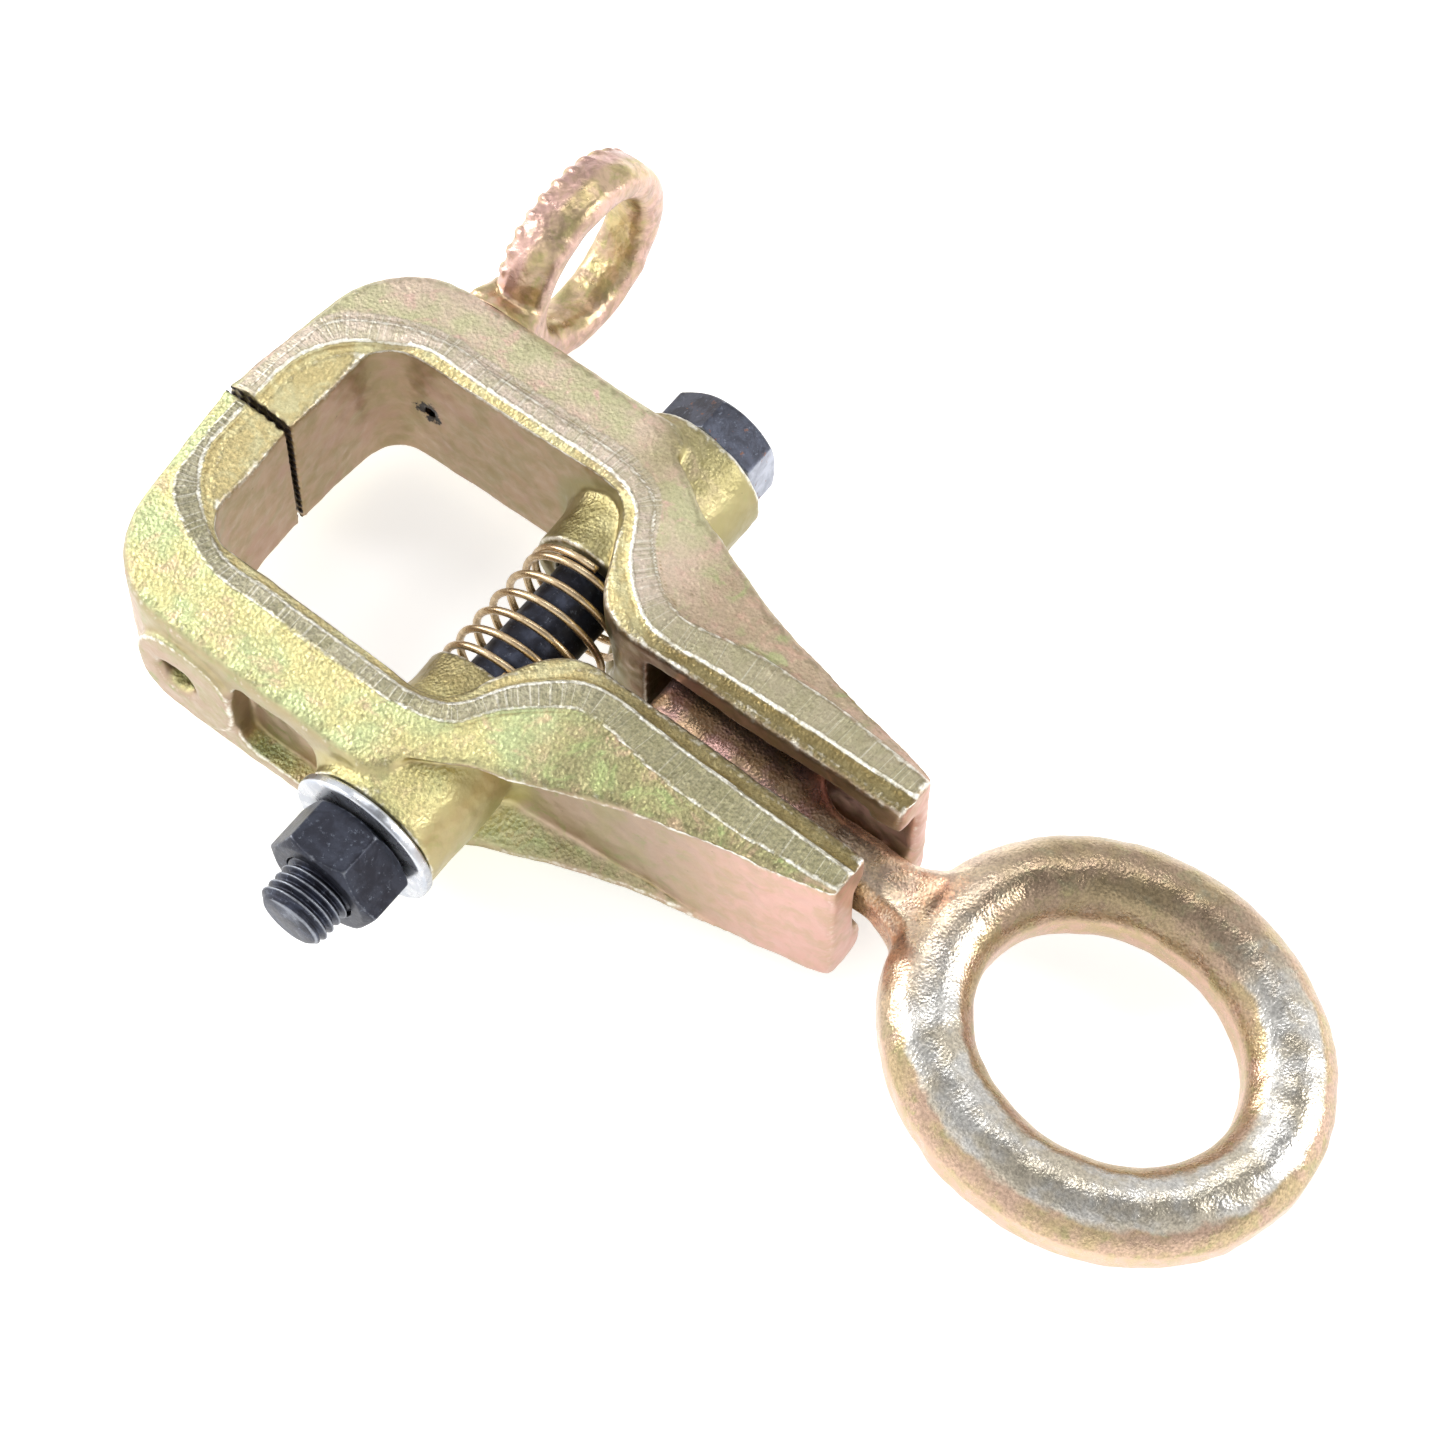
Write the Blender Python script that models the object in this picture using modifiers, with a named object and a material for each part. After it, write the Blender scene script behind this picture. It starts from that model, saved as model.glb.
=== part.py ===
"""Two-way pull clamp: two mirrored forged jaws on one bolt, spread by a spring, with a wedge-headed
pull link between their arms and a side pull eye. Metres, +Z up. X runs from the jaw noses to the
pull ring, Y along the clamp bolt, and the jaws' middle plane is level."""

import math

import bmesh
import bpy
from mathutils import Matrix, Vector

MM = 0.001

# Jaw: half heights and lengths, all in millimetres from the middle plane and the bolt's axis plane
RIDGE_Z = 20.2            # half height at the parting ridge
DRAFT = math.tan(math.radians(7.0))
INNER_DRAFT = math.tan(math.radians(11.0))
TIP_X = 59.0
CONTACT_Y = 0.15          # half the gap between the two toothed faces
BOLT_X = -28.35
BOSS_RADIUS = 16.2
BOSS_END_Y = 54.0
SEAT_RADIUS = 14.5
SEAT_END_Y = 16.5
SPRING_ROOM = 14.6         # radius cut from the arm round the spring
WALL_Y = 50.8
EDGE_ROUND = 2.0
TOOTH_PITCH = 2.6
TOOTH_DEPTH = 1.1

# Side pad and the hole that takes a pull eye
EYE_X = -81.6
PAD_X = -79.5
PAD_HALF_WIDTH = 12.6
PAD_HALF_HEIGHT = 13.2
PAD_Y = 51.8
SIDE_HOLE_RADIUS = 4.3
HOLE_END_Y = 32.2         # the drill point goes on from here and just breaks the inner wall

# Pull link, in its own frame: the head's middle is the origin
HEAD_X = 19.0             # where that origin lies along the clamp
HEAD_LENGTH = 38.0
HEAD_HALF_HEIGHT = 9.5
SHANK_HALF_HEIGHT = 5.8
LINK_DROOP = math.radians(5.8)
LINK_YAW = math.radians(1.2)
RING_CENTRE = 94.9
RING_HALF_LENGTH = 38.0   # to the middle of the bar, along the link
RING_HALF_WIDTH = 33.0    # and across it
RING_BAR_RADIUS = 10.0
RING_FLAT = 9.5           # the bar is trimmed flat at this distance from its middle

# Side pull eye
EYE_CENTRE_Y = 79.6
EYE_OUTER = 24.6
EYE_INNER = 16.0
EYE_HALF_THICK = 6.3
EYE_COLLAR_RADIUS = 12.8
EYE_SHANK_RADIUS = 5.0

# M16 fasteners
BOLT_RADIUS = 8.0
THREAD_MINOR = 6.9
THREAD_PITCH = 2.0
BOLT_END_Y = -79.2
THREAD_START_Y = -38.0
HEX_FLATS = 24.0
HEAD_THICK = 10.0
NUT_THICK = 12.9
WASHER_RADIUS = 16.8
WASHER_THICK = 2.4
GAP = 0.3

# Spring round the bolt, between the two seats
SPRING_RADIUS = 13.1
SPRING_WIRE = 0.85
SPRING_TURNS = 7.0
CLOSED_TURNS = 1.0

# The whole clamp stands on the eye's lowest point, centred over the origin
SHIFT = Vector((-25.5, -12.5, 24.56)) * MM


def clear_scene():
    for obj in list(bpy.data.objects):
        bpy.data.objects.remove(obj, do_unlink=True)


def make_material(name, colour, roughness, metallic):
    material = bpy.data.materials.new(name)
    material.use_nodes = True
    shader = material.node_tree.nodes["Principled BSDF"]
    shader.inputs["Base Color"].default_value = (*colour, 1.0)
    shader.inputs["Roughness"].default_value = roughness
    shader.inputs["Metallic"].default_value = metallic
    return material


def place(name, bm, material=None, origin=(0, 0, 0), rotation=(0, 0, 0)):
    """An object from a mesh whose points are millimetres from its own origin."""
    bmesh.ops.recalc_face_normals(bm, faces=bm.faces)
    bmesh.ops.scale(bm, vec=(MM, MM, MM), verts=bm.verts)
    mesh = bpy.data.meshes.new(name)
    bm.to_mesh(mesh)
    bm.free()
    obj = bpy.data.objects.new(name, mesh)
    obj.parent = FRAME
    obj.location = Vector(origin) * MM
    obj.rotation_euler = rotation
    if material:
        mesh.materials.append(material)
        PARTS.objects.link(obj)
    else:
        obj.hide_render = True
        obj.display_type = "WIRE"
        CUTTERS.objects.link(obj)
    return obj


def smooth(obj, degrees=35.0):
    obj.data.shade_smooth()
    obj.data.set_sharp_from_angle(angle=math.radians(degrees))


def combine(target, other, operation):
    modifier = target.modifiers.new(f"{operation.lower()} {other.name}", "BOOLEAN")
    modifier.operation = operation
    modifier.solver = "EXACT"
    modifier.object = other


def fillet(corners, steps=7):
    """A polyline through (x, y, radius) corners, with an arc at each corner that has a radius."""
    points = []
    for index, (x, y, radius) in enumerate(corners):
        here = Vector((x, y))
        if radius == 0:
            points.append(here)
            continue
        before = (Vector(corners[index - 1][:2]) - here).normalized()
        after = (Vector(corners[index + 1][:2]) - here).normalized()
        half = before.angle(after) / 2
        start = here + before * (radius / math.tan(half))
        centre = here + (before + after).normalized() * (radius / math.sin(half))
        from_angle = math.atan2(*(start - centre).yx)
        sweep = math.pi - 2 * half
        side = 1 if before.x * after.y - before.y * after.x < 0 else -1
        for step in range(steps + 1):
            angle = from_angle + side * sweep * step / steps
            points.append(centre + radius * Vector((math.cos(angle), math.sin(angle))))
    return points


def walk(points, near_start, near_end, count):
    """Points evenly spaced along a polyline, between the places nearest to two given points."""
    lengths = [0.0]
    for a, b in zip(points, points[1:]):
        lengths.append(lengths[-1] + (b - a).length)

    def place_of(target):
        best = None
        for index, (a, b) in enumerate(zip(points, points[1:])):
            along = max(0.0, min(1.0, (target - a).dot(b - a) / (b - a).length_squared))
            gap = (a.lerp(b, along) - target).length
            if best is None or gap < best[0]:
                best = (gap, lengths[index] + along * (b - a).length)
        return best[1]

    def point_at(distance):
        for index, (a, b) in enumerate(zip(points, points[1:])):
            if distance <= lengths[index + 1] or index == len(points) - 2:
                return a.lerp(b, (distance - lengths[index]) / (b - a).length)

    start, end = place_of(Vector(near_start)), place_of(Vector(near_end))
    return [point_at(start + (end - start) * step / count) for step in range(count + 1)]


def skin(rings):
    """A closed solid through rings of points, with a face across the first and the last."""
    bm = bmesh.new()
    rows = [[bm.verts.new(point) for point in ring] for ring in rings]
    for one, two in zip(rows, rows[1:]):
        for index in range(len(one)):
            after = (index + 1) % len(one)
            bm.faces.new((one[index], one[after], two[after], two[index]))
    bm.faces.new(rows[0])
    bm.faces.new(list(reversed(rows[-1])))
    return bm


def hull(points):
    bm = bmesh.new()
    for point in points:
        bm.verts.new(point)
    result = bmesh.ops.convex_hull(bm, input=bm.verts)
    loose = {item for item in result["geom_interior"] if isinstance(item, bmesh.types.BMVert)}
    bmesh.ops.delete(bm, geom=list(loose), context="VERTS")
    return bm


def rod(radius, start_y, end_y, x=0.0, z=0.0, segments=40, end_radius=None):
    """A cylinder or cone along Y."""
    bm = bmesh.new()
    bmesh.ops.create_cone(
        bm, cap_ends=True, segments=segments, radius1=radius,
        radius2=radius if end_radius is None else end_radius, depth=abs(end_y - start_y))
    turn = Matrix.Rotation(math.radians(-90 if end_y > start_y else 90), 4, "X")
    move = Matrix.Translation((x, (start_y + end_y) / 2, z))
    bmesh.ops.transform(bm, matrix=move @ turn, verts=bm.verts)
    return bm


def turned(name, profile, material, origin, segments=40):
    """A solid turned about Y, from (radius, y) points that run towards -Y on the outer side."""
    mesh = bpy.data.meshes.new(name)
    points = [(radius * MM, y * MM, 0.0) for radius, y in profile]
    edges = [(index, index + 1) for index in range(len(points) - 1)]
    mesh.from_pydata(points, edges, [])
    obj = bpy.data.objects.new(name, mesh)
    obj.parent = FRAME
    obj.location = Vector(origin) * MM
    screw = obj.modifiers.new("turn", "SCREW")
    screw.axis = "Y"
    screw.steps = segments
    screw.render_steps = segments
    screw.use_merge_vertices = True
    screw.merge_threshold = 0.00001
    screw.use_smooth_shade = True
    if material:
        mesh.materials.append(material)
        PARTS.objects.link(obj)
    else:
        obj.hide_render = True
        obj.display_type = "WIRE"
        CUTTERS.objects.link(obj)
    return obj


# ---------------------------------------------------------------- jaws

INNER_LINE = [
    (-93.6, CONTACT_Y, 0), (-92.2, 29.0, 8), (-29.3, 30.2, 8), (-16.8, 4.0, 14), (TIP_X, 5.3, 0)]
OUTER_LINE = [
    (-110.5, CONTACT_Y, 0), (-104.8, 50.2, 22), (-30.5, WALL_Y, 7), (-15.5, 38.2, 5),
    (14.0, 26.4, 40), (TIP_X, 16.5, 0)]
# Where a line across the jaw meets the inner and the outer outline, how far from the inner one
# the ridge starts and ends, and the number of steps to the next such line
CROSS_LINES = [
    ((-93.6, 0), (-110.5, 0), 10.2, 12.4, 4),
    ((-93.1, 13), (-108.7, 15), 10.0, 12.2, 3),
    ((-92.6, 21), (-106.9, 30), 5.0, 10.6, 8),
    ((-84.2, 29.2), (-82.5, 50.4), 2.2, 6.0, 8),
    ((-34.3, 30.1), (-40.0, WALL_Y), 2.2, 6.2, 6),
    ((-27.0, 25.7), (-20.0, 42.0), 3.2, 7.4, 4),
    ((-20.7, 12.1), (-11.0, 36.5), 6.0, 11.5, 5),
    ((-7.9, 4.1), (3.0, 31.1), 4.8, 11.0, 5),
    ((30.0, 4.8), (33.0, 22.0), 4.9, 12.4, 5),
    ((TIP_X, 5.3), (TIP_X, 16.5), 5.0, 9.6, 0),
]


def jaw_section(inner, outer, ridge_start, ridge_end):
    """The closed outline across one jaw, from the inner edge over the top and back underneath."""
    across = (outer - inner).normalized()
    width = (outer - inner).length
    ridge_end = min(ridge_end, width - EDGE_ROUND - 0.4)

    def fall(distance):
        return RIDGE_Z - max(0.0, distance - ridge_end) * DRAFT

    top = [
        (0.0, RIDGE_Z - ridge_start * INNER_DRAFT - 0.5),
        (0.5, RIDGE_Z - ridge_start * INNER_DRAFT),
        (ridge_start, RIDGE_Z),
        (ridge_end, RIDGE_Z),
        (width - EDGE_ROUND, fall(width - EDGE_ROUND)),
        (width - EDGE_ROUND * 0.3, fall(width) - EDGE_ROUND * 0.3),
        (width, fall(width) - EDGE_ROUND),
    ]
    outline = [(distance, z) for distance, z in top] + [(distance, -z) for distance, z in reversed(top)]
    return [(*(inner + across * distance), z) for distance, z in outline]


def jaw_blank():
    inner_points = fillet(INNER_LINE)
    outer_points = fillet(OUTER_LINE)
    sections = []
    for here, after in zip(CROSS_LINES, CROSS_LINES[1:]):
        count = here[4]
        inner = walk(inner_points, here[0], after[0], count)
        outer = walk(outer_points, here[1], after[1], count)
        for step in range(count + (after is CROSS_LINES[-1])):
            share = step / count
            start = here[2] + (after[2] - here[2]) * share
            end = here[3] + (after[3] - here[3]) * share
            sections.append(jaw_section(inner[step], outer[step], start, end))
    return skin(sections)


def rounded_slab(x, half_width, half_height, radius, start_y, end_y, steps=5):
    """A block along Y whose outline in X and Z has round corners."""
    ring = []
    for quarter in range(4):
        sx = (1, -1, -1, 1)[quarter]
        sz = (1, 1, -1, -1)[quarter]
        for step in range(steps + 1):
            angle = math.radians(90 * quarter + 90 * step / steps)
            ring.append((
                x + sx * (half_width - radius) + radius * math.cos(angle),
                sz * (half_height - radius) + radius * math.sin(angle)))
    return skin([[(px, y, pz) for px, pz in ring] for y in (start_y, end_y)])


def flange_underside(x, y):
    """Half the height of the outer channel at a point of the arm."""
    return -(5.8 - 0.26 * x - 0.706 * y)


def channel_cutter():
    """The tapering channel outside the arm, between the top and the bottom flange."""
    corners = []
    for x, web_y in ((-27.0, 29.3), (42.0, 19.9)):
        for y in (web_y, 62.0):
            half = flange_underside(x, y)
            corners += [(x, y, half), (x, y, -half)]
    return hull(corners)


def groove_cutter(start, end, half_height, deepest):
    """The groove inside the arm that guides the link's head; its floor closes in on the tip."""
    corners = []
    for x in (start, end):
        for y in (0.0, min(groove_floor(x), deepest)):
            corners += [(x, y, half_height), (x, y, -half_height)]
    return hull(corners)


def groove_floor(x):
    return 14.0 - 0.0508 * x


def tooth_comb(along_x):
    """A zigzag comb that leaves rows of teeth on the contact face, cut along X or along Z."""
    low, high = (-RIDGE_Z - 1.0, RIDGE_Z + 1.0) if along_x else (-112.0, -92.0)
    count = round((high - low) / TOOTH_PITCH)
    pitch = (high - low) / count
    outline = [(high + 1.0, -6.0), (low - 1.0, -6.0), (low - 1.0, CONTACT_Y - 0.1)]
    for index in range(count):
        outline.append((low + index * pitch, CONTACT_Y - 0.1))
        outline.append((low + (index + 0.5) * pitch, CONTACT_Y + TOOTH_DEPTH))
    outline += [(high, CONTACT_Y - 0.1), (high + 1.0, CONTACT_Y - 0.1)]
    ends = (-116.0, -88.0) if along_x else (-25.0, 25.0)
    return skin([[(end, y, c) if along_x else (c, y, end) for c, y in outline] for end in ends])


def mirrored(bm, side):
    """The mesh as it is for the far jaw, or mirrored in the bolt direction for the near one."""
    if side < 0:
        bmesh.ops.scale(bm, vec=(1, -1, 1), verts=bm.verts)
    return bm


def moved(bm, origin):
    bmesh.ops.translate(bm, vec=-Vector(origin), verts=bm.verts)
    return bm


def build_jaw(name, side, material, origin, bore_shift, hole_radius, mouth_floor):
    jaw = place(name, moved(mirrored(jaw_blank(), side), origin), material, origin)
    steps = [
        ("channel", channel_cutter(), "DIFFERENCE"),
        ("boss", rod(BOSS_RADIUS, 31.0, BOSS_END_Y, BOLT_X, segments=48), "UNION"),
        ("seat", rod(SEAT_RADIUS, SEAT_END_Y, 36.0, BOLT_X, segments=40), "UNION"),
        ("seat_flare", rod(SEAT_RADIUS - 0.4, 23.0, 31.5, BOLT_X, segments=40, end_radius=16.0), "UNION"),
        ("spring_room", rod(SPRING_ROOM, -5.0, SEAT_END_Y, BOLT_X, segments=40), "DIFFERENCE"),
        ("pad", rounded_slab(PAD_X, PAD_HALF_WIDTH, PAD_HALF_HEIGHT, 10.5, 38.0, PAD_Y), "UNION"),
        ("pocket", rounded_slab(-56.2, 10.6, 12.5, 5.0, 45.5, 60.0), "DIFFERENCE"),
        ("bore", bore_slot(bore_shift), "DIFFERENCE"),
        ("eye_hole", rod(hole_radius, HOLE_END_Y, 60.0, EYE_X, segments=24), "DIFFERENCE"),
        ("drill_point", rod(hole_radius - 0.4, HOLE_END_Y + 0.2, HOLE_END_Y - 3.2, EYE_X,
                            segments=12, end_radius=0.6), "DIFFERENCE"),
        ("countersink", rod(hole_radius - 0.5, PAD_Y - 2.0, PAD_Y + 1.0, EYE_X, segments=24,
                            end_radius=hole_radius + 2.0), "DIFFERENCE"),
        ("groove", groove_cutter(-4.0, 51.0, 13.0, 14.0), "DIFFERENCE"),
        ("groove_mouth", groove_cutter(50.0, 64.0, 10.5, mouth_floor), "DIFFERENCE"),
        ("teeth_across", tooth_comb(True), "DIFFERENCE"),
        ("teeth_upright", tooth_comb(False), "DIFFERENCE"),
    ]
    for label, mesh, operation in steps:
        cutter = place(f"{name}_{label}_tool", mirrored(mesh, side))
        combine(jaw, cutter, operation)
    return jaw


def bore_slot(shift):
    """The bolt's bore, longer towards the nose so that the jaw can lean on the bolt."""
    radius = BOLT_RADIUS + 0.7
    ring = []
    for centre, start in ((BOLT_X, -90), (BOLT_X - shift, 90)):
        for step in range(17):
            angle = math.radians(start + 180 * step / 16)
            ring.append((centre + radius * math.cos(angle), radius * math.sin(angle)))
    return skin([[(x, y, z) for x, z in ring] for y in (15.0, 60.0)])


# ---------------------------------------------------------------- fasteners

def hexagon(flats, start_y, end_y, phase):
    ring = []
    for corner in range(6):
        angle = math.radians(phase + 60 * corner)
        ring.append((flats / math.sqrt(3) * math.cos(angle), flats / math.sqrt(3) * math.sin(angle)))
    return skin([[(x, y, z) for x, z in ring] for y in (start_y, end_y)])


def chamfer_tool(name, flats, start_y, end_y, at_start, at_end, origin):
    """A turned body that trims the corners of a hexagon at one or both ends."""
    reach = flats * 0.62
    low = flats * 0.475
    drop = (reach - low) * math.tan(math.radians(30))
    high_y, low_y = max(start_y, end_y), min(start_y, end_y)
    profile = [(0.0, high_y)]
    profile += [(low, high_y), (reach, high_y - drop)] if at_end else [(reach, high_y)]
    profile += [(reach, low_y + drop), (low, low_y)] if at_start else [(reach, low_y)]
    profile += [(0.0, low_y)]
    return turned(name, profile, None, origin, 48)


def build_bolt(material):
    origin = (BOLT_X, 0, 0)
    head_y = BOSS_END_Y + GAP
    profile = [(0.0, head_y + 1.0), (BOLT_RADIUS, head_y + 1.0), (BOLT_RADIUS, THREAD_START_Y)]
    turns = int((THREAD_START_Y - BOLT_END_Y) / THREAD_PITCH) - 1
    for index in range(turns):
        y = THREAD_START_Y - 1.0 - index * THREAD_PITCH
        profile += [(THREAD_MINOR, y), (BOLT_RADIUS, y - THREAD_PITCH / 2)]
    last = profile[-1][1]
    profile += [(6.4, last - 1.4), (6.2, BOLT_END_Y), (0.0, BOLT_END_Y)]
    bolt = turned("clamp_bolt", profile, material, origin, 32)
    head = hexagon(HEX_FLATS, head_y, head_y + HEAD_THICK, -27.0)
    head = place("bolt_head_tool", head, None, origin)
    trim = chamfer_tool("bolt_head_trim_tool", HEX_FLATS, head_y, head_y + HEAD_THICK, False, True, origin)
    combine(head, trim, "INTERSECT")
    combine(bolt, head, "UNION")
    return bolt


def build_nut(material):
    start = -(BOSS_END_Y + GAP + WASHER_THICK + GAP)
    origin = (BOLT_X, start, 0)
    nut = place("clamp_nut", hexagon(HEX_FLATS, 0.0, -NUT_THICK, 2.0), material, origin)
    combine(nut, chamfer_tool("nut_trim_tool", HEX_FLATS, 0.0, -NUT_THICK, True, True, origin), "INTERSECT")
    bore = place("nut_bore_tool", rod(BOLT_RADIUS + 0.25, 5.0, -NUT_THICK - 5.0), None, origin)
    combine(nut, bore, "DIFFERENCE")
    return nut


def build_washer(material):
    origin = (BOLT_X, -(BOSS_END_Y + GAP), 0)
    hole = BOLT_RADIUS + 0.6
    edge = 0.3
    profile = [
        (hole, 0.0), (WASHER_RADIUS - edge, 0.0), (WASHER_RADIUS, -edge),
        (WASHER_RADIUS, -WASHER_THICK + edge), (WASHER_RADIUS - edge, -WASHER_THICK),
        (hole, -WASHER_THICK), (hole, 0.0)]
    return turned("flat_washer", profile, material, origin, 48)


def build_spring(material):
    """Compression spring: one closed turn at each end and open turns between."""
    length = 2 * (SEAT_END_Y - GAP - SPRING_WIRE)
    closed_pitch = 2 * SPRING_WIRE + 0.15
    open_turns = SPRING_TURNS - 2 * CLOSED_TURNS
    open_pitch = (length - 2 * CLOSED_TURNS * closed_pitch) / open_turns
    per_turn = 16
    curve = bpy.data.curves.new("return_spring", "CURVE")
    curve.dimensions = "3D"
    curve.bevel_depth = SPRING_WIRE * MM
    curve.bevel_resolution = 1
    curve.use_fill_caps = True
    spline = curve.splines.new("POLY")
    count = int(SPRING_TURNS * per_turn)
    spline.points.add(count)
    y = -length / 2
    for index in range(count + 1):
        turn = index / per_turn
        angle = math.radians(76) - 2 * math.pi * turn
        spline.points[index].co = (
            SPRING_RADIUS * math.cos(angle) * MM, y * MM, SPRING_RADIUS * math.sin(angle) * MM, 1.0)
        closed = turn < CLOSED_TURNS or turn >= SPRING_TURNS - CLOSED_TURNS
        y += (closed_pitch if closed else open_pitch) / per_turn
    curve.materials.append(material)
    spring = bpy.data.objects.new("return_spring", curve)
    spring.parent = FRAME
    spring.location = Vector((BOLT_X, 0, 0)) * MM
    PARTS.objects.link(spring)
    return spring


# ---------------------------------------------------------------- pull link

def bar_outline(radius, flat, steps=5):
    """Half-round bar section, trimmed flat on its inner and its outer side: (outward, up) points."""
    limit = math.acos(flat / radius)
    points = []
    for start, end in ((limit, math.pi - limit), (math.pi + limit, 2 * math.pi - limit)):
        for step in range(2 * steps + 1):
            angle = start + (end - start) * step / (2 * steps)
            points.append((radius * math.cos(angle), radius * math.sin(angle)))
    return points


def ring_mesh(centre_x, half_length, half_width, outline, segments):
    """A bar bent to an oval round (centre_x, 0, 0) in the XY plane."""
    bm = bmesh.new()
    rows = []
    for index in range(segments):
        angle = 2 * math.pi * index / segments
        middle = Vector((half_length * math.cos(angle), half_width * math.sin(angle), 0))
        outward = Vector((math.cos(angle) / half_length, math.sin(angle) / half_width, 0)).normalized()
        row = [middle + outward * out + Vector((centre_x, 0, up)) for out, up in outline]
        rows.append([bm.verts.new(point) for point in row])
    for index, one in enumerate(rows):
        two = rows[(index + 1) % segments]
        for corner in range(len(one)):
            after = (corner + 1) % len(one)
            bm.faces.new((one[corner], one[after], two[after], two[corner]))
    return bm


def head_half_width(x):
    """Half the head's width at a distance x from its middle, to run clear of the groove's floor."""
    return groove_floor(HEAD_X + x) - 0.9


def build_link(material):
    origin = (HEAD_X, 0, 0)
    rotation = (0, LINK_DROOP, LINK_YAW)
    back, front = -HEAD_LENGTH / 2, HEAD_LENGTH / 2
    chamfer = 2.0
    rings = []
    for x, inset, drop in (
            (back, chamfer, chamfer), (back + chamfer, 0, 0), (front - 3.0, 0, 0), (front - 1.0, 1.4, 0.9),
            (front + 1.0, 3.4, 2.0), (front + 3.5, 4.7, 2.9), (front + 7.0, 5.2, 3.6)):
        half_y = head_half_width(x) - inset
        half_z = HEAD_HALF_HEIGHT - drop
        cut = 1.5
        rings.append([
            (x, half_y, half_z - cut), (x, half_y - cut, half_z), (x, -half_y + cut, half_z),
            (x, -half_y, half_z - cut), (x, -half_y, -half_z + cut), (x, -half_y + cut, -half_z),
            (x, half_y - cut, -half_z), (x, half_y, -half_z + cut)])
    link = place("pull_link", skin(rings), material, origin, rotation)
    shank = []
    ring_start = RING_CENTRE - RING_HALF_LENGTH - RING_FLAT
    for x, half_y, half_z in (
            (front - 4, 6.1, SHANK_HALF_HEIGHT), (ring_start - 6, 6.6, SHANK_HALF_HEIGHT),
            (ring_start - 2, 7.6, 6.2), (ring_start + 2, 10.0, 7.2), (ring_start + 6, 15.5, 8.4),
            (ring_start + 9, 18.0, 8.6)):
        cut = half_z * 0.4
        shank.append([
            (x, half_y, half_z - cut), (x, half_y - cut, half_z), (x, -half_y + cut, half_z),
            (x, -half_y, half_z - cut), (x, -half_y, -half_z + cut), (x, -half_y + cut, -half_z),
            (x, half_y - cut, -half_z), (x, half_y, -half_z + cut)])
    combine(link, place("link_shank_tool", skin(shank), None, origin, rotation), "UNION")
    outline = bar_outline(RING_BAR_RADIUS, RING_FLAT)
    ring = ring_mesh(RING_CENTRE, RING_HALF_LENGTH, RING_HALF_WIDTH, outline, 56)
    combine(link, place("link_ring_tool", ring, None, origin, rotation), "UNION")
    return link


# ---------------------------------------------------------------- side pull eye

def build_eye(material):
    """A round eye that stands in the plane of the bolt and the vertical, screwed into the far jaw."""
    origin = (EYE_X, PAD_Y, 0)
    centre = EYE_CENTRE_Y - PAD_Y
    radius = (EYE_OUTER + EYE_INNER) / 2
    half_radial = (EYE_OUTER - EYE_INNER) / 2
    outline = []
    for step in range(16):
        angle = 2 * math.pi * (step + 0.5) / 16
        c, s = math.cos(angle), math.sin(angle)
        outline.append((
            half_radial * math.copysign(abs(c) ** 0.7, c), EYE_HALF_THICK * math.copysign(abs(s) ** 0.7, s)))
    bm = ring_mesh(0.0, radius, radius, outline, 40)
    turn = Matrix.Rotation(math.radians(90), 4, "Y")
    bmesh.ops.transform(bm, matrix=Matrix.Translation((0, centre, 0)) @ turn, verts=bm.verts)
    eye = place("side_eye", bm, material, origin)
    shank_end = HOLE_END_Y + 0.6 - PAD_Y
    neck_end = centre - EYE_INNER - half_radial
    combine(eye, place("eye_shank_tool", rod(EYE_SHANK_RADIUS, shank_end, 2.0, segments=24), None, origin), "UNION")
    collar = rod(EYE_COLLAR_RADIUS, GAP, GAP + 3.4, segments=32, end_radius=EYE_COLLAR_RADIUS - 1.8)
    combine(eye, place("eye_collar_tool", collar, None, origin), "UNION")
    neck = []
    for y, half_x, half_z in ((GAP + 1.6, 9.0, 10.6), (neck_end - 0.6, 7.2, 9.6), (neck_end + 2.4, 5.6, 11.5)):
        cut = 2.0
        neck.append([
            (half_x, y, half_z - cut), (half_x - cut, y, half_z), (-half_x + cut, y, half_z),
            (-half_x, y, half_z - cut), (-half_x, y, -half_z + cut), (-half_x + cut, y, -half_z),
            (half_x - cut, y, -half_z), (half_x, y, -half_z + cut)])
    combine(eye, place("eye_neck_tool", skin(neck), None, origin), "UNION")
    return eye


# ---------------------------------------------------------------- assembly

clear_scene()
PARTS = bpy.data.collections.new("pull_clamp")
CUTTERS = bpy.data.collections.new("cutters")
bpy.context.scene.collection.children.link(PARTS)
bpy.context.scene.collection.children.link(CUTTERS)
FRAME = bpy.data.objects.new("clamp_frame", None)
FRAME.location = SHIFT
PARTS.objects.link(FRAME)

ZINC = make_material("yellow_zinc", (0.62, 0.52, 0.28), 0.36, 1.0)
LINK_ZINC = make_material("link_zinc", (0.60, 0.50, 0.33), 0.34, 1.0)
EYE_ZINC = make_material("eye_zinc", (0.66, 0.56, 0.36), 0.34, 1.0)
BLACK_BOLT = make_material("black_oxide_bolt", (0.05, 0.05, 0.06), 0.45, 1.0)
BLACK_NUT = make_material("black_oxide_nut", (0.04, 0.04, 0.045), 0.4, 1.0)
BRIGHT_ZINC = make_material("bright_zinc", (0.78, 0.79, 0.80), 0.3, 1.0)
SPRING_WIRE_FINISH = make_material("spring_wire", (0.55, 0.42, 0.25), 0.35, 1.0)

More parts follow.
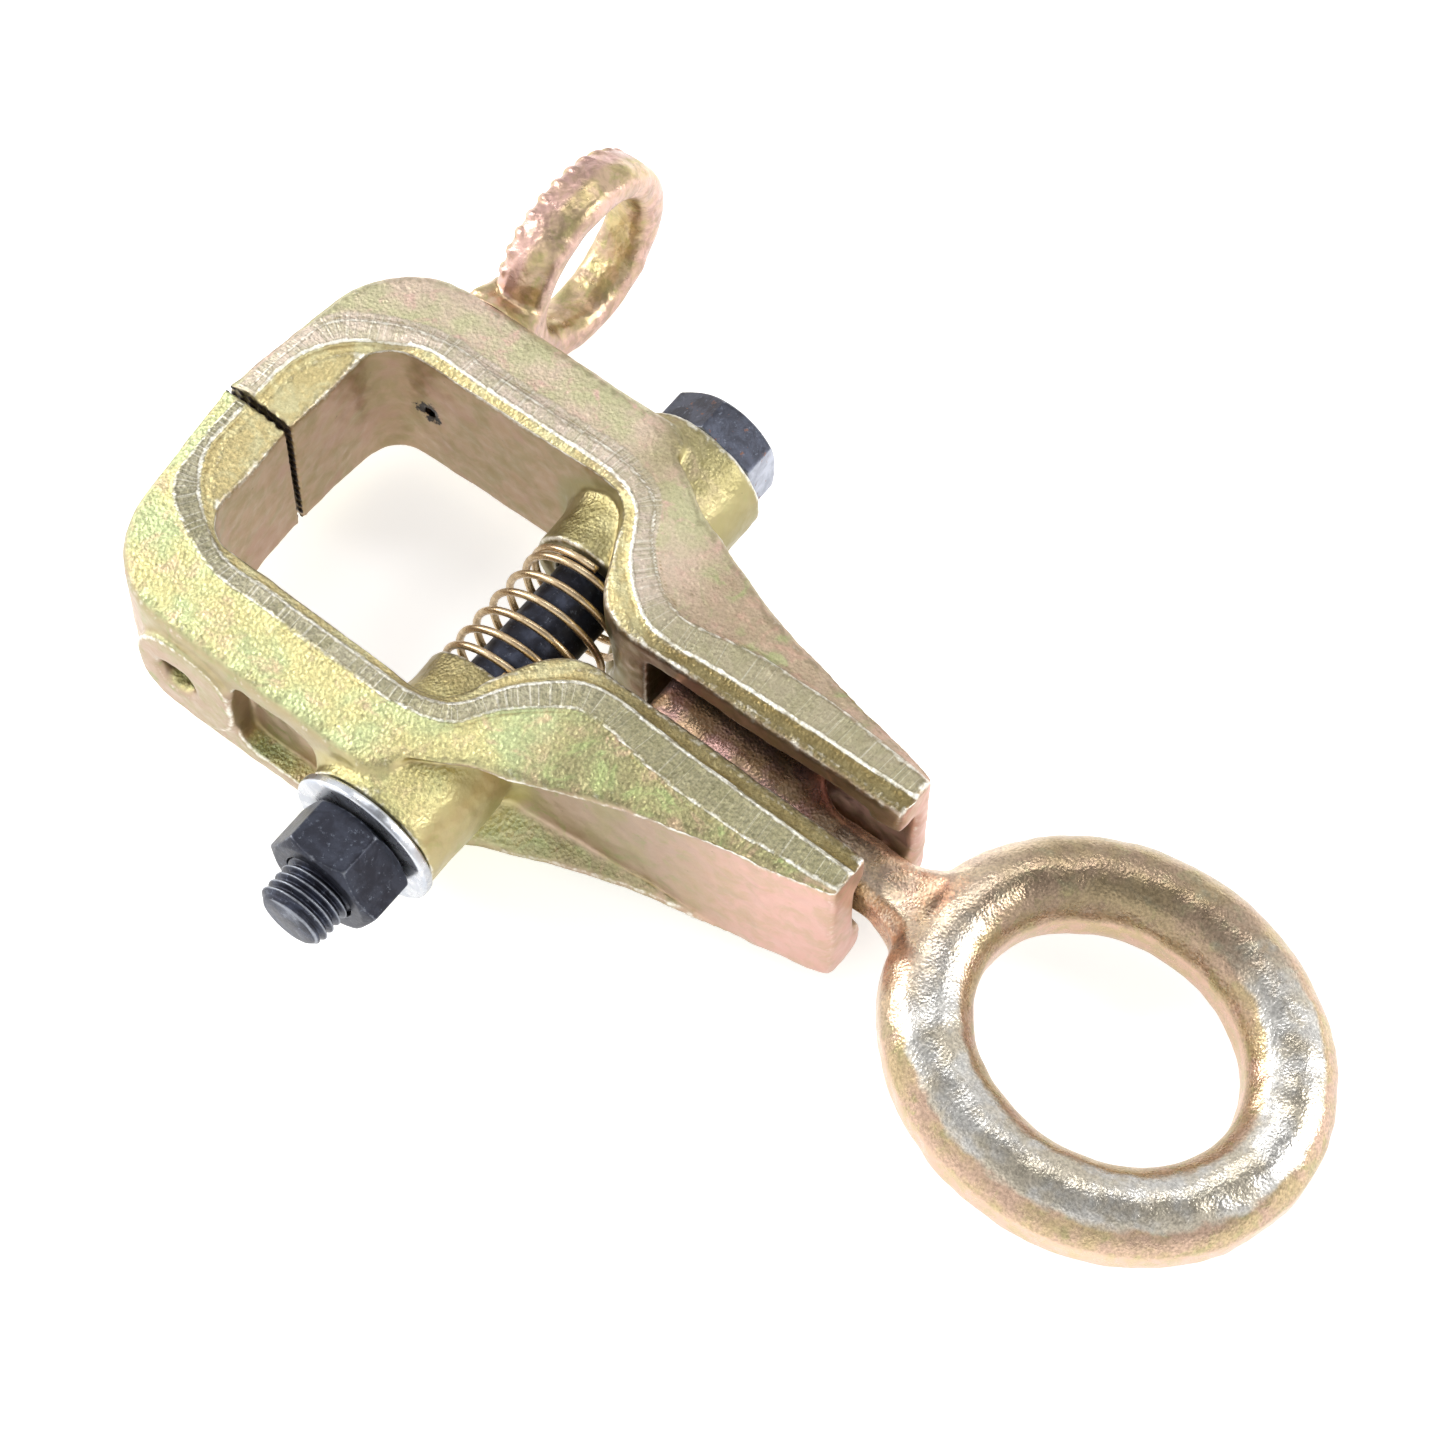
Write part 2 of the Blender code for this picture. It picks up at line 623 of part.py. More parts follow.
NEAR_PIVOT = (43.5, -11.9, 0)   # the near arm rocks here on the front corner of the link's head
far_jaw = build_jaw("far_jaw", 1, ZINC, (0, 0, 0), 0.2, EYE_SHANK_RADIUS + GAP, 12.0)
near_jaw = build_jaw("near_jaw", -1, ZINC, NEAR_PIVOT, 3.6, SIDE_HOLE_RADIUS, 7.8)
bolt = build_bolt(BLACK_BOLT)
nut = build_nut(BLACK_NUT)
washer = build_washer(BRIGHT_ZINC)
spring = build_spring(SPRING_WIRE_FINISH)
link = build_link(LINK_ZINC)
eye = build_eye(EYE_ZINC)
for piece in (far_jaw, near_jaw, link, eye, nut):
    smooth(piece)
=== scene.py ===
"""Looks of the two-way pull clamp: forged and plated jaws, link and eye, black bolt and nut, bright washer
and bronze spring.

Lengths below are millimetres in the jaws' own frame, and jaw_point() turns them into the frame's metres.
x runs along the clamp from the teeth to the ring, with the bolt's axis at BOLT_X. y runs across it from the
plane where the jaws meet, towards the far jaw. z runs up from the jaws' middle plane."""

import math

import bmesh
import bpy
import numpy as np
from mathutils import Matrix, Vector


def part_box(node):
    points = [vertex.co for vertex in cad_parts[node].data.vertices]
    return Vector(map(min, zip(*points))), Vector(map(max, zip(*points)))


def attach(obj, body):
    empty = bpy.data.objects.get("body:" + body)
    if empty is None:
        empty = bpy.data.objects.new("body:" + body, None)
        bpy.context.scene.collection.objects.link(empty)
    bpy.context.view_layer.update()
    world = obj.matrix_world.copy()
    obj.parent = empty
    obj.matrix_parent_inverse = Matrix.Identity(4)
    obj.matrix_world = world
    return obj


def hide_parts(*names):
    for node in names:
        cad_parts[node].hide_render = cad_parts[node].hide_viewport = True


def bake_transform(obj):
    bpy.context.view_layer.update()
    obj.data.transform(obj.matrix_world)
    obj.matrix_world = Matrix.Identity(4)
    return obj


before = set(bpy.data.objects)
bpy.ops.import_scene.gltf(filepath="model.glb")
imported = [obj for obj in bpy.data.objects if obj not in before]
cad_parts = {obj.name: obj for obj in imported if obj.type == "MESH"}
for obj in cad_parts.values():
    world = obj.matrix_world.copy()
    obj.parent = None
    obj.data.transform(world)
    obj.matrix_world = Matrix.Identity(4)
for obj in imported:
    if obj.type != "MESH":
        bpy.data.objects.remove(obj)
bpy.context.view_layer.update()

MM = 0.001
BOLT_X = -28.35
CONTACT_Y = 0.15  # where the far jaw starts: half the gap between the jaws

washer_low, washer_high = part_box("flat_washer")
ORIGIN = Vector((
    (washer_low.x + washer_high.x) / 2 - BOLT_X * MM,
    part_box("far_jaw")[0].y - CONTACT_Y * MM,
    (washer_low.z + washer_high.z) / 2))


def jaw_point(x, y, z):
    """A point in jaw millimetres, as a point of the frame."""
    return ORIGIN + Vector((x, y, z)) * MM


# ---------------------------------------------------------------- mesh tools

WELD_DISTANCE = 1e-6  # metres
SHARP_EDGE_SCALE = 8.0
BOX_SLACK = 0.01
WAVE_COUNT = 24
WAVE_SCALE = 5.0


def cad_mesh(node):
    """A welded copy of a CAD node's mesh, in jaw millimetres."""
    bm = bmesh.new()
    bm.from_mesh(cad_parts[node].data)
    bmesh.ops.remove_doubles(bm, verts=bm.verts, dist=WELD_DISTANCE)
    bmesh.ops.translate(bm, vec=-ORIGIN, verts=bm.verts)
    bmesh.ops.scale(bm, vec=(1 / MM,) * 3, verts=bm.verts)
    mesh = bpy.data.meshes.new(node)
    bm.to_mesh(mesh)
    bm.free()
    return mesh


def evaluated_copy(obj):
    graph = bpy.context.evaluated_depsgraph_get()
    return bpy.data.meshes.new_from_object(obj.evaluated_get(graph))


def remeshed(mesh, voxel):
    """The closed mesh rebuilt in even quads of about that size."""
    obj = bpy.data.objects.new("remesh", mesh)
    bpy.context.scene.collection.objects.link(obj)
    modifier = obj.modifiers.new("remesh", "REMESH")
    modifier.mode = "VOXEL"
    modifier.voxel_size = voxel
    result = evaluated_copy(obj)
    bpy.data.objects.remove(obj)
    return result


def rows_of(items, name, columns, kind):
    """One value of every item, as an array with that many columns."""
    values = np.empty(len(items) * columns, kind)
    items.foreach_get(name, values)
    return values.reshape(-1, columns)


def points_of(mesh):
    return rows_of(mesh.vertices, "co", 3, np.float32).astype(float)


def edges_of(mesh):
    return rows_of(mesh.edges, "vertices", 2, np.int32)


def normals_of(mesh):
    return rows_of(mesh.vertex_normals, "vector", 3, np.float32).astype(float)


def neighbour_count(edges, points):
    return np.bincount(edges.reshape(-1), minlength=points).astype(float)


def neighbour_mean(values, edges, count):
    """The mean of each vertex's neighbours, for an array of one or more columns."""
    columns = values.reshape(len(values), -1)
    total = np.zeros_like(columns)
    for column in range(columns.shape[1]):
        total[:, column] = (
            np.bincount(edges[:, 0], columns[edges[:, 1], column], len(columns))
            + np.bincount(edges[:, 1], columns[edges[:, 0], column], len(columns)))
    return (total / count[:, None]).reshape(values.shape)


def relax(co, edges, rounds, weight=None):
    """Points eased towards their neighbours, by their weight, so that edges round off and corners fill."""
    count = neighbour_count(edges, len(co))
    share = 0.5 if weight is None else 0.5 * weight[:, None]
    for _ in range(rounds):
        co = co + share * (neighbour_mean(co, edges, count) - co)
    return co


def soften(values, edges, rounds):
    """Values blurred over the surface."""
    count = neighbour_count(edges, len(values))
    for _ in range(rounds):
        values = 0.5 * values + 0.5 * neighbour_mean(values, edges, count)
    return values


def set_points(mesh, co):
    mesh.vertices.foreach_set("co", co.astype(np.float32).reshape(-1))
    mesh.update()


def store(mesh, **values_by_name):
    """One value per point for each name, for the material to read."""
    for name, values in values_by_name.items():
        attribute = mesh.attributes.new(name, "FLOAT", "POINT")
        attribute.data.foreach_set("value", np.asarray(values, np.float32))


def curvature(co, normals, edges, voxel):
    """Above 0 where the surface is a convex edge, below 0 in a hollow, about 1 on a sharp forged edge."""
    count = neighbour_count(edges, len(co))
    bulge = -np.einsum("ij,ij->i", neighbour_mean(co, edges, count) - co, normals) / voxel
    return soften(bulge, edges, 1) * SHARP_EDGE_SCALE


def lifted(co, normals, amount):
    """Points moved out along their normals, each by its own amount."""
    return co + normals * amount[:, None]


def smoothstep(low, high, value):
    t = np.clip((value - low) / (high - low), 0.0, 1.0)
    return t * t * (3 - 2 * t)


def waves(co, size, seed):
    """Smooth pseudo-random height field from WAVE_COUNT sine waves, about -1 to 1."""
    rng = np.random.default_rng(seed)
    total = np.zeros(len(co))
    for _ in range(WAVE_COUNT):
        direction = rng.normal(size=3)
        direction /= np.linalg.norm(direction)
        frequency = 2 * math.pi / (size * rng.uniform(0.7, 1.8))
        total += np.sin(co @ direction * frequency + rng.uniform(0, 2 * math.pi))
    return total / WAVE_SCALE


def uneven(co, seed, *layers):
    """Waves of several sizes added up. Each layer is a height and a size."""
    return sum(height * waves(co, size, seed + step) for step, (height, size) in enumerate(layers))


def from_bolt(co):
    """Distance from the bolt's axis."""
    return np.hypot(co[:, 0] - BOLT_X, co[:, 2])


def piece(name, mesh, material, node, body):
    """The finished mesh, in jaw millimetres, as the piece that stands for a CAD node."""
    mesh.transform(Matrix.Diagonal((MM, MM, MM, 1)))
    mesh.transform(Matrix.Translation(ORIGIN))
    mesh.materials.clear()
    mesh.materials.append(material)
    mesh.shade_smooth()
    obj = bpy.data.objects.new(name, mesh)
    bpy.context.scene.collection.objects.link(obj)
    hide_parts(node)
    if body:
        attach(obj, body)
    return obj


# ---------------------------------------------------------------- lines on the jaw

def smooth_line(points, steps=6):
    """(x, y) points of a smooth curve through the given ones."""
    points = np.array(points, float)
    padded = np.vstack([2 * points[0] - points[1], points, 2 * points[-1] - points[-2]])
    line = []
    for a, b, c, d in zip(padded, padded[1:], padded[2:], padded[3:]):
        for step in range(steps):
            t = step / steps
            square = (2 * a - 5 * b + 4 * c - d) * t**2
            cube = (3 * b - a - 3 * c + d) * t**3
            line.append(0.5 * (2 * b + (c - a) * t + square + cube))
    return np.array(line + [points[-1]])


def line_distance(xy, line):
    """Signed distance from a line, above 0 to the left of it, and the length along it at the nearest point."""
    best = np.full(len(xy), 1e9)
    signed = np.zeros(len(xy))
    along = np.zeros(len(xy))
    travelled = 0.0
    for a, b in zip(line, line[1:]):
        d = b - a
        length = np.linalg.norm(d)
        t = np.clip(((xy - a) @ d) / length**2, 0, 1)
        offset = xy - (a + t[:, None] * d)
        distance = np.linalg.norm(offset, axis=1)
        side = np.sign(d[0] * offset[:, 1] - d[1] * offset[:, 0])
        nearer = distance < best
        best = np.where(nearer, distance, best)
        signed = np.where(nearer, side * distance, signed)
        along = np.where(nearer, travelled + t * length, along)
        travelled += length
    return signed, along


# The flat band along the parting ridge lies between these two lines
BAND_INNER = smooth_line([
    (-103.8, -4), (-103.8, 3), (-103.0, 14.3), (-96.8, 23.7), (-84.0, 31.4), (-70, 31.8), (-48, 32.0),
    (-34.9, 32.2), (-25.7, 28.6), (-18.5, 17.7), (-6.1, 8.5), (12, 9.0), (30.8, 9.6), (59, 10.3), (64, 10.4)])
BAND_OUTER = smooth_line([
    (-106.0, -4), (-106.0, 3), (-105.2, 14.6), (-101.6, 26.6), (-83.7, 35.2), (-70, 35.6), (-48, 35.9),
    (-35.9, 36.1), (-24.1, 32.5), (-16.5, 22.8), (-3.8, 14.3), (14, 16.6), (32.1, 17.0), (59, 14.9),
    (64, 14.5)])


# ---------------------------------------------------------------- node materials

def map_range(tree, value, low, high, to_low, to_high, smooth=True):
    node = tree.nodes.new("ShaderNodeMapRange")
    node.interpolation_type = "SMOOTHSTEP" if smooth else "LINEAR"
    tree.links.new(value, node.inputs["Value"])
    for socket, number in zip(("From Min", "From Max", "To Min", "To Max"), (low, high, to_low, to_high)):
        node.inputs[socket].default_value = number
    return node.outputs["Result"]


class Shader:
    """Short calls that add nodes to one material. Sizes are millimetres."""

    def __init__(self, name):
        self.material = bpy.data.materials.new(name)
        self.material.use_nodes = True
        self.tree = self.material.node_tree
        self.principled = self.tree.nodes["Principled BSDF"]
        self.coordinates = self.tree.nodes.new("ShaderNodeTexCoord").outputs["Object"]

    def link(self, source, target):
        """A number or a colour set on the target, or a node's output joined to it."""
        if isinstance(source, (int, float)):
            target.default_value = source
        elif isinstance(source, tuple):
            target.default_value = (*source, 1.0)
        else:
            self.tree.links.new(source, target)

    def attribute(self, name):
        node = self.tree.nodes.new("ShaderNodeAttribute")
        node.attribute_name = name
        return node.outputs["Fac"]

    def noise(self, size_mm, detail=3.0, roughness=0.55, distortion=0.0):
        node = self.tree.nodes.new("ShaderNodeTexNoise")
        node.inputs["Scale"].default_value = 1 / (size_mm * MM)
        node.inputs["Detail"].default_value = detail
        node.inputs["Roughness"].default_value = roughness
        node.inputs["Distortion"].default_value = distortion
        self.link(self.coordinates, node.inputs["Vector"])
        return node.outputs["Fac"]

    def cells(self, size_mm, smooth):
        node = self.tree.nodes.new("ShaderNodeTexVoronoi")
        node.feature = "SMOOTH_F1"
        node.inputs["Scale"].default_value = 1 / (size_mm * MM)
        node.inputs["Smoothness"].default_value = smooth
        self.link(self.coordinates, node.inputs["Vector"])
        return node.outputs["Distance"]

    def math(self, operation, a, b=0.0, clamp=False):
        node = self.tree.nodes.new("ShaderNodeMath")
        node.operation = operation
        node.use_clamp = clamp
        self.link(a, node.inputs[0])
        self.link(b, node.inputs[1])
        return node.outputs[0]

    def product(self, a, b):
        return self.math("MULTIPLY", a, b)

    def total(self, a, b, clamp=False):
        return self.math("ADD", a, b, clamp)

    def rest_of(self, share, clamp=False):
        """What a share from 0 to 1 leaves."""
        return self.math("SUBTRACT", 1.0, share, clamp)

    def swing(self, value, width):
        """A value from 0 to 1 moved to lie about 0, over that width."""
        return self.product(self.math("SUBTRACT", value, 0.5), width)

    def ramp(self, value, low, high, to_low=0.0, to_high=1.0, smooth=True):
        return map_range(self.tree, value, low, high, to_low, to_high, smooth)

    def mix(self, factor, a, b, blend="MIX"):
        node = self.tree.nodes.new("ShaderNodeMix")
        node.data_type = "RGBA"
        node.blend_type = blend
        self.link(factor, node.inputs["Factor"])
        self.link(a, node.inputs[6])
        self.link(b, node.inputs[7])
        return node.outputs[2]

    def tones(self, value, low, high, first, second):
        """The first colour below low, the second above high."""
        return self.mix(self.ramp(value, low, high), first, second)

    def darkened(self, colour, light):
        """The colour times a number that stands for its light."""
        grey = self.tree.nodes.new("ShaderNodeCombineColor")
        for socket in ("Red", "Green", "Blue"):
            self.link(light, grey.inputs[socket])
        return self.mix(1.0, colour, grey.outputs["Color"], "MULTIPLY")

    def shear_marks(self):
        """Close cuts across the band, from the length along it."""
        node = self.tree.nodes.new("ShaderNodeTexNoise")
        node.noise_dimensions = "1D"
        node.inputs["Scale"].default_value = 1.3
        node.inputs["Detail"].default_value = 4.0
        node.inputs["Roughness"].default_value = 0.7
        self.link(self.attribute("along_band"), node.inputs["W"])
        return node.outputs["Fac"]

    def bump(self, height, distance_mm, strength=1.0, normal=None):
        node = self.tree.nodes.new("ShaderNodeBump")
        node.inputs["Distance"].default_value = distance_mm * MM
        node.inputs["Strength"].default_value = strength
        self.link(height, node.inputs["Height"])
        if normal is not None:
            self.link(normal, node.inputs["Normal"])
        return node.outputs["Normal"]

    def finish(self, colour, roughness, metallic, normal=None):
        self.link(colour, self.principled.inputs["Base Color"])
        self.link(roughness, self.principled.inputs["Roughness"])
        self.link(metallic, self.principled.inputs["Metallic"])
        if normal is not None:
            self.link(normal, self.principled.inputs["Normal"])
        return self.material


def srgb(red, green, blue):
    """A colour given as 0 to 255 display values, in the linear values that shaders take."""
    return tuple(
        value / 255 / 12.92 if value / 255 <= 0.04045 else ((value / 255 + 0.055) / 1.055) ** 2.4
        for value in (red, green, blue))


# ---------------------------------------------------------------- jaw material

FILM_PINK = srgb(204, 160, 146)
FILM_GREEN = srgb(160, 178, 118)
WALL_TONES = (srgb(178, 155, 134), srgb(169, 155, 121), srgb(158, 156, 112))
TIP_PINKS = (srgb(212, 171, 158), srgb(198, 166, 142))
INNER_TONES = (srgb(176, 150, 122), srgb(160, 142, 106), srgb(174, 144, 122))
ARM_BAND = srgb(146, 141, 108)
BRIGHT_CUT = srgb(232, 228, 216)
DARK_CUT = srgb(130, 126, 106)
RIM_TONES = (srgb(200, 184, 134), srgb(206, 198, 154))
ARM_RIM_TONES = (srgb(128, 114, 76), srgb(140, 128, 90))
SEAT_PAINTED_SHADE = srgb(124, 108, 72)
BROW_PAINTED_SHADE = srgb(118, 108, 78)
WORN_EDGE_AND_HIGHLIGHT = srgb(236, 233, 222)
HOLLOW_PAINTED_SHADE = srgb(138, 116, 66)
SEAM_PAINTED_HIGHLIGHT = srgb(238, 234, 214)
DARK_PATCH_BLACK = srgb(38, 32, 28)
BITE_PAINTED_SHADE = srgb(40, 30, 26)


def slope_colour(s, patches, drift, slopes, arm_slope):
    """The blasted slopes, gold-green, with an uneven pink and green film over the arm."""
    slope = s.tones(patches, 0.38, 0.62, slopes[0], slopes[1])
    slope = s.tones(drift, 0.5, 0.72, slope, slopes[2])
    film = s.noise(8.0, 3.0, 0.6, distortion=1.2)
    arm_slope = s.mix(s.ramp(film, 0.52, 0.66, 0.0, 0.45), arm_slope, FILM_PINK)
    arm_slope = s.mix(s.ramp(film, 0.34, 0.48, 0.6, 0.0), arm_slope, FILM_GREEN)
    return s.mix(s.product(s.attribute("arm"), s.ramp(drift, 0.3, 0.7, 1.0, 0.75)), slope, arm_slope)


def wall_colour(s, patches, drift):
    """The upright sides, pinker towards the arm's tip."""
    wall = s.tones(patches, 0.4, 0.6, WALL_TONES[0], WALL_TONES[1])
    wall = s.tones(drift, 0.52, 0.7, wall, WALL_TONES[2])
    return s.mix(s.attribute("tip"), wall, s.tones(drift, 0.4, 0.65, *TIP_PINKS))


def inner_colour(s, patches, drift):
    """The sides that face the throat or the link."""
    inner = s.tones(drift, 0.35, 0.65, INNER_TONES[0], INNER_TONES[1])
    return s.tones(patches, 0.5, 0.68, inner, INNER_TONES[2])


def band_colour(s, drift, shear, bands):
    """The sheared band, with bright and dark cuts across it."""
    arm = s.attribute("arm")
    band = s.tones(drift, 0.4, 0.65, *bands)
    band = s.mix(s.product(arm, 0.7), band, ARM_BAND)
    bright = s.math("SUBTRACT", s.ramp(shear, 0.54, 0.68, 0.0, 0.55), s.product(arm, 0.25), clamp=True)
    band = s.mix(bright, band, BRIGHT_CUT)
    return s.mix(s.ramp(shear, 0.30, 0.44, 0.45, 0.0), band, DARK_CUT)


def rim_colour(s, drift):
    """The bevel inside the band."""
    arm_rim = s.tones(drift, 0.4, 0.65, *ARM_RIM_TONES)
    return s.mix(s.attribute("arm"), s.tones(drift, 0.4, 0.65, *RIM_TONES), arm_rim)


def with_jaw_wear_and_painted_light(s, colour, on_top, ragged):
    """Bright edges from wear with a painted highlight on them, a darker line of painted shade behind them and
    painted shade in browner hollows.
    """
    edge = s.attribute("edge")
    # Edges lightened partly for wear and partly as a painted highlight.
    lightened_edge = s.ramp(s.total(edge, ragged), 0.26, 0.85)
    # Painted shade: a darker line just behind the bright edges, mostly on the top faces.
    painted_brow_shade = s.product(s.ramp(edge, 0.10, 0.24), s.rest_of(lightened_edge))
    painted_brow_shade = s.product(painted_brow_shade, s.total(on_top, 0.2, clamp=True))
    colour = s.mix(s.product(painted_brow_shade, 0.38), colour, BROW_PAINTED_SHADE)
    colour = s.mix(lightened_edge, colour, WORN_EDGE_AND_HIGHLIGHT)
    # Painted shade: hollows and inner corners painted browner and darker.
    return s.mix(s.product(s.ramp(edge, -0.8, -0.26, 1.0, 0.0), 0.6), colour, HOLLOW_PAINTED_SHADE)


def jaw_material(name, slopes, arm_slope, bands, boss, grain_mm, speckle):
    """Yellow chromate on a blasted forging: gold-green slopes, pinkish walls, a grey sheared band along the
    parting ridge, brown inner walls, bright edges from wear with a painted highlight on them, and a line of
    painted shade between the teeth."""
    s = Shader(name)
    patches = s.noise(14.0, 3.0, 0.6)
    drift = s.noise(5.0, 4.0, 0.6, distortion=0.6)
    ragged = s.swing(s.noise(0.9, 2.0, 0.6), 0.7)
    wobble = s.swing(s.noise(2.4, 2.0), 1.2)
    shear = s.shear_marks()

    upright = s.attribute("upright")
    on_top = s.rest_of(upright, clamp=True)
    inner_line = s.total(s.attribute("into_band"), wobble)
    past_inner = s.ramp(inner_line, -0.15, 0.15)
    past_outer = s.ramp(s.total(s.attribute("out_of_band"), wobble), -0.4, 0.4, 1.0, 0.0)
    on_band = s.product(s.product(past_inner, past_outer), on_top)
    bevel = s.product(s.rest_of(past_inner), on_top)

    colour = s.mix(bevel, slope_colour(s, patches, drift, slopes, arm_slope), rim_colour(s, drift))
    colour = s.mix(on_band, colour, band_colour(s, drift, shear, bands))
    colour = s.mix(upright, colour, wall_colour(s, patches, drift))
    colour = s.mix(s.attribute("facing_in"), colour, inner_colour(s, patches, drift))
    colour = s.mix(s.product(s.attribute("boss"), s.ramp(drift, 0.3, 0.7, 1.0, 0.7)), colour, boss)
    # Painted shade: the near jaw's spring seat, which faces the far jaw, painted darker.
    colour = s.mix(s.product(s.attribute("seat"), 0.6), colour, SEAT_PAINTED_SHADE)
    colour = with_jaw_wear_and_painted_light(s, colour, on_top, ragged)

    # Random speckle on the top faces' colour: partly the blasted grain, partly a painted sparkle.
    speck_and_sparkle = s.ramp(s.noise(0.8, 2.0, 0.7), 0.33, 0.67, 1.0 - speckle, 1.0 + 0.7 * speckle, smooth=False)
    colour = s.mix(on_top, colour, s.darkened(colour, speck_and_sparkle))
    # Painted highlight: a broken pale line along the band's inner edge, where a thin flash burr runs.
    painted_seam_highlight = s.product(s.ramp(s.math("ABSOLUTE", inner_line), 0.05, 0.3, 1.0, 0.0), on_top)
    painted_seam_highlight = s.product(painted_seam_highlight, s.ramp(s.noise(4.0, 3.0, 0.7), 0.42, 0.62, 0.1, 1.0))
    colour = s.mix(s.product(painted_seam_highlight, 0.6), colour, SEAM_PAINTED_HIGHLIGHT)
    scatter = s.swing(s.noise(2.2, 3.0, 0.7), 2.4)
    # A black patch with a ragged edge, painted round one point on the far jaw, level with the eye.
    smudge = s.ramp(s.total(s.attribute("smudge"), scatter), 0.45, 0.8)
    colour = s.mix(smudge, colour, DARK_PATCH_BLACK)
    # Painted shade: the gap where the teeth of the two jaws meet is painted near black, rougher and less
    # metallic.
    bite = s.ramp(s.total(s.attribute("bite"), s.product(ragged, 0.8)), 0.35, 0.6)
    colour = s.mix(bite, colour, BITE_PAINTED_SHADE)

    grain = s.total(s.cells(grain_mm, 0.4), s.product(s.noise(grain_mm * 0.5, 3.0, 0.7), 0.8))
    height = s.product(grain, s.total(s.product(on_top, 0.9), 0.1))
    height = s.total(height, s.product(s.product(shear, on_band), 0.9))
    normal = s.bump(height, 0.14 + 0.45 * speckle)
    normal = s.bump(s.noise(6.0, 2.0), 0.35, 0.6, normal)
    patchy = s.total(s.noise(3.0, 3.0), s.product(bite, 0.6))
    roughness = s.ramp(patchy, 0.3, 0.8, 0.28, 0.50, smooth=False)
    metallic = s.ramp(bite, 0.0, 1.0, 0.9, 0.2)
    return s.finish(colour, roughness, metallic, normal)


# ---------------------------------------------------------------- jaws

NEAR_SIDE, FAR_SIDE = -1, 1
JAW_VOXEL = 0.6
JAW_INSET = 0.14
OUTER_DEPTH, INNER_DEPTH, SHEAR_DEPTH = 0.42, 0.45, 0.12
BOSS_EDGE, BOSS_FACE = 21, 17.5
EYE_X = -81.6
DARK_PATCH_Y = 30.2
DARK_PATCH_REACH = 6.2
TEETH_X = -88
MIDDLE_LINE_ENDS = (-62.0, 55.0)


def eased_parts(co):
    """Where the forging's corners are rounder: the arm's tip and the foot of the bolt boss."""
    tip = smoothstep(53.5, 57.5, co[:, 0]) * smoothstep(19.8, 17.5, co[:, 2])
    reach = from_bolt(co)
    depth = np.abs(co[:, 1])
    round_boss = smoothstep(12.5, 14.5, reach) * smoothstep(26, 21, reach)
    boss = round_boss * smoothstep(20, 24, depth) * smoothstep(51, 47, depth)
    return np.clip(tip + boss, 0, 1)


def ridge_relief(co, normals, into_band, out_of_band):
    """How far the surface lies under the trimmed band, on either side of it and on it."""
    wobble = 0.17 * waves(co, 9.0, 61)
    faces_up = smoothstep(0.35, 0.7, np.abs(normals[:, 2]))
    near_ridge = smoothstep(12.0, 15.0, np.abs(co[:, 2]))
    outside = smoothstep(0.0, 1.0, out_of_band + wobble) * (1 - smoothstep(3.0, 11.0, out_of_band))
    inside = smoothstep(0.0, 0.7, wobble * 0.5 - into_band) * (1 - smoothstep(1.2, 3.2, -into_band))
    sheared = smoothstep(0.5, 1.3, into_band)
    depth = OUTER_DEPTH * outside + INNER_DEPTH * inside + SHEAR_DEPTH * sheared
    return depth * faces_up * near_ridge


def facing_throat(xy, outward, into_band):
    """1 where the surface looks towards the jaws' middle line, from inside the band."""
    nearest_x = np.clip(xy[:, 0], *MIDDLE_LINE_ENDS)
    towards = np.column_stack([nearest_x - xy[:, 0], -np.abs(xy[:, 1])])
    towards /= np.linalg.norm(towards, axis=1)[:, None] + 1e-9
    inside = smoothstep(-1.5, -0.2, -into_band)
    return smoothstep(0.2, 0.6, np.einsum("ij,ij->i", outward, towards)) * inside


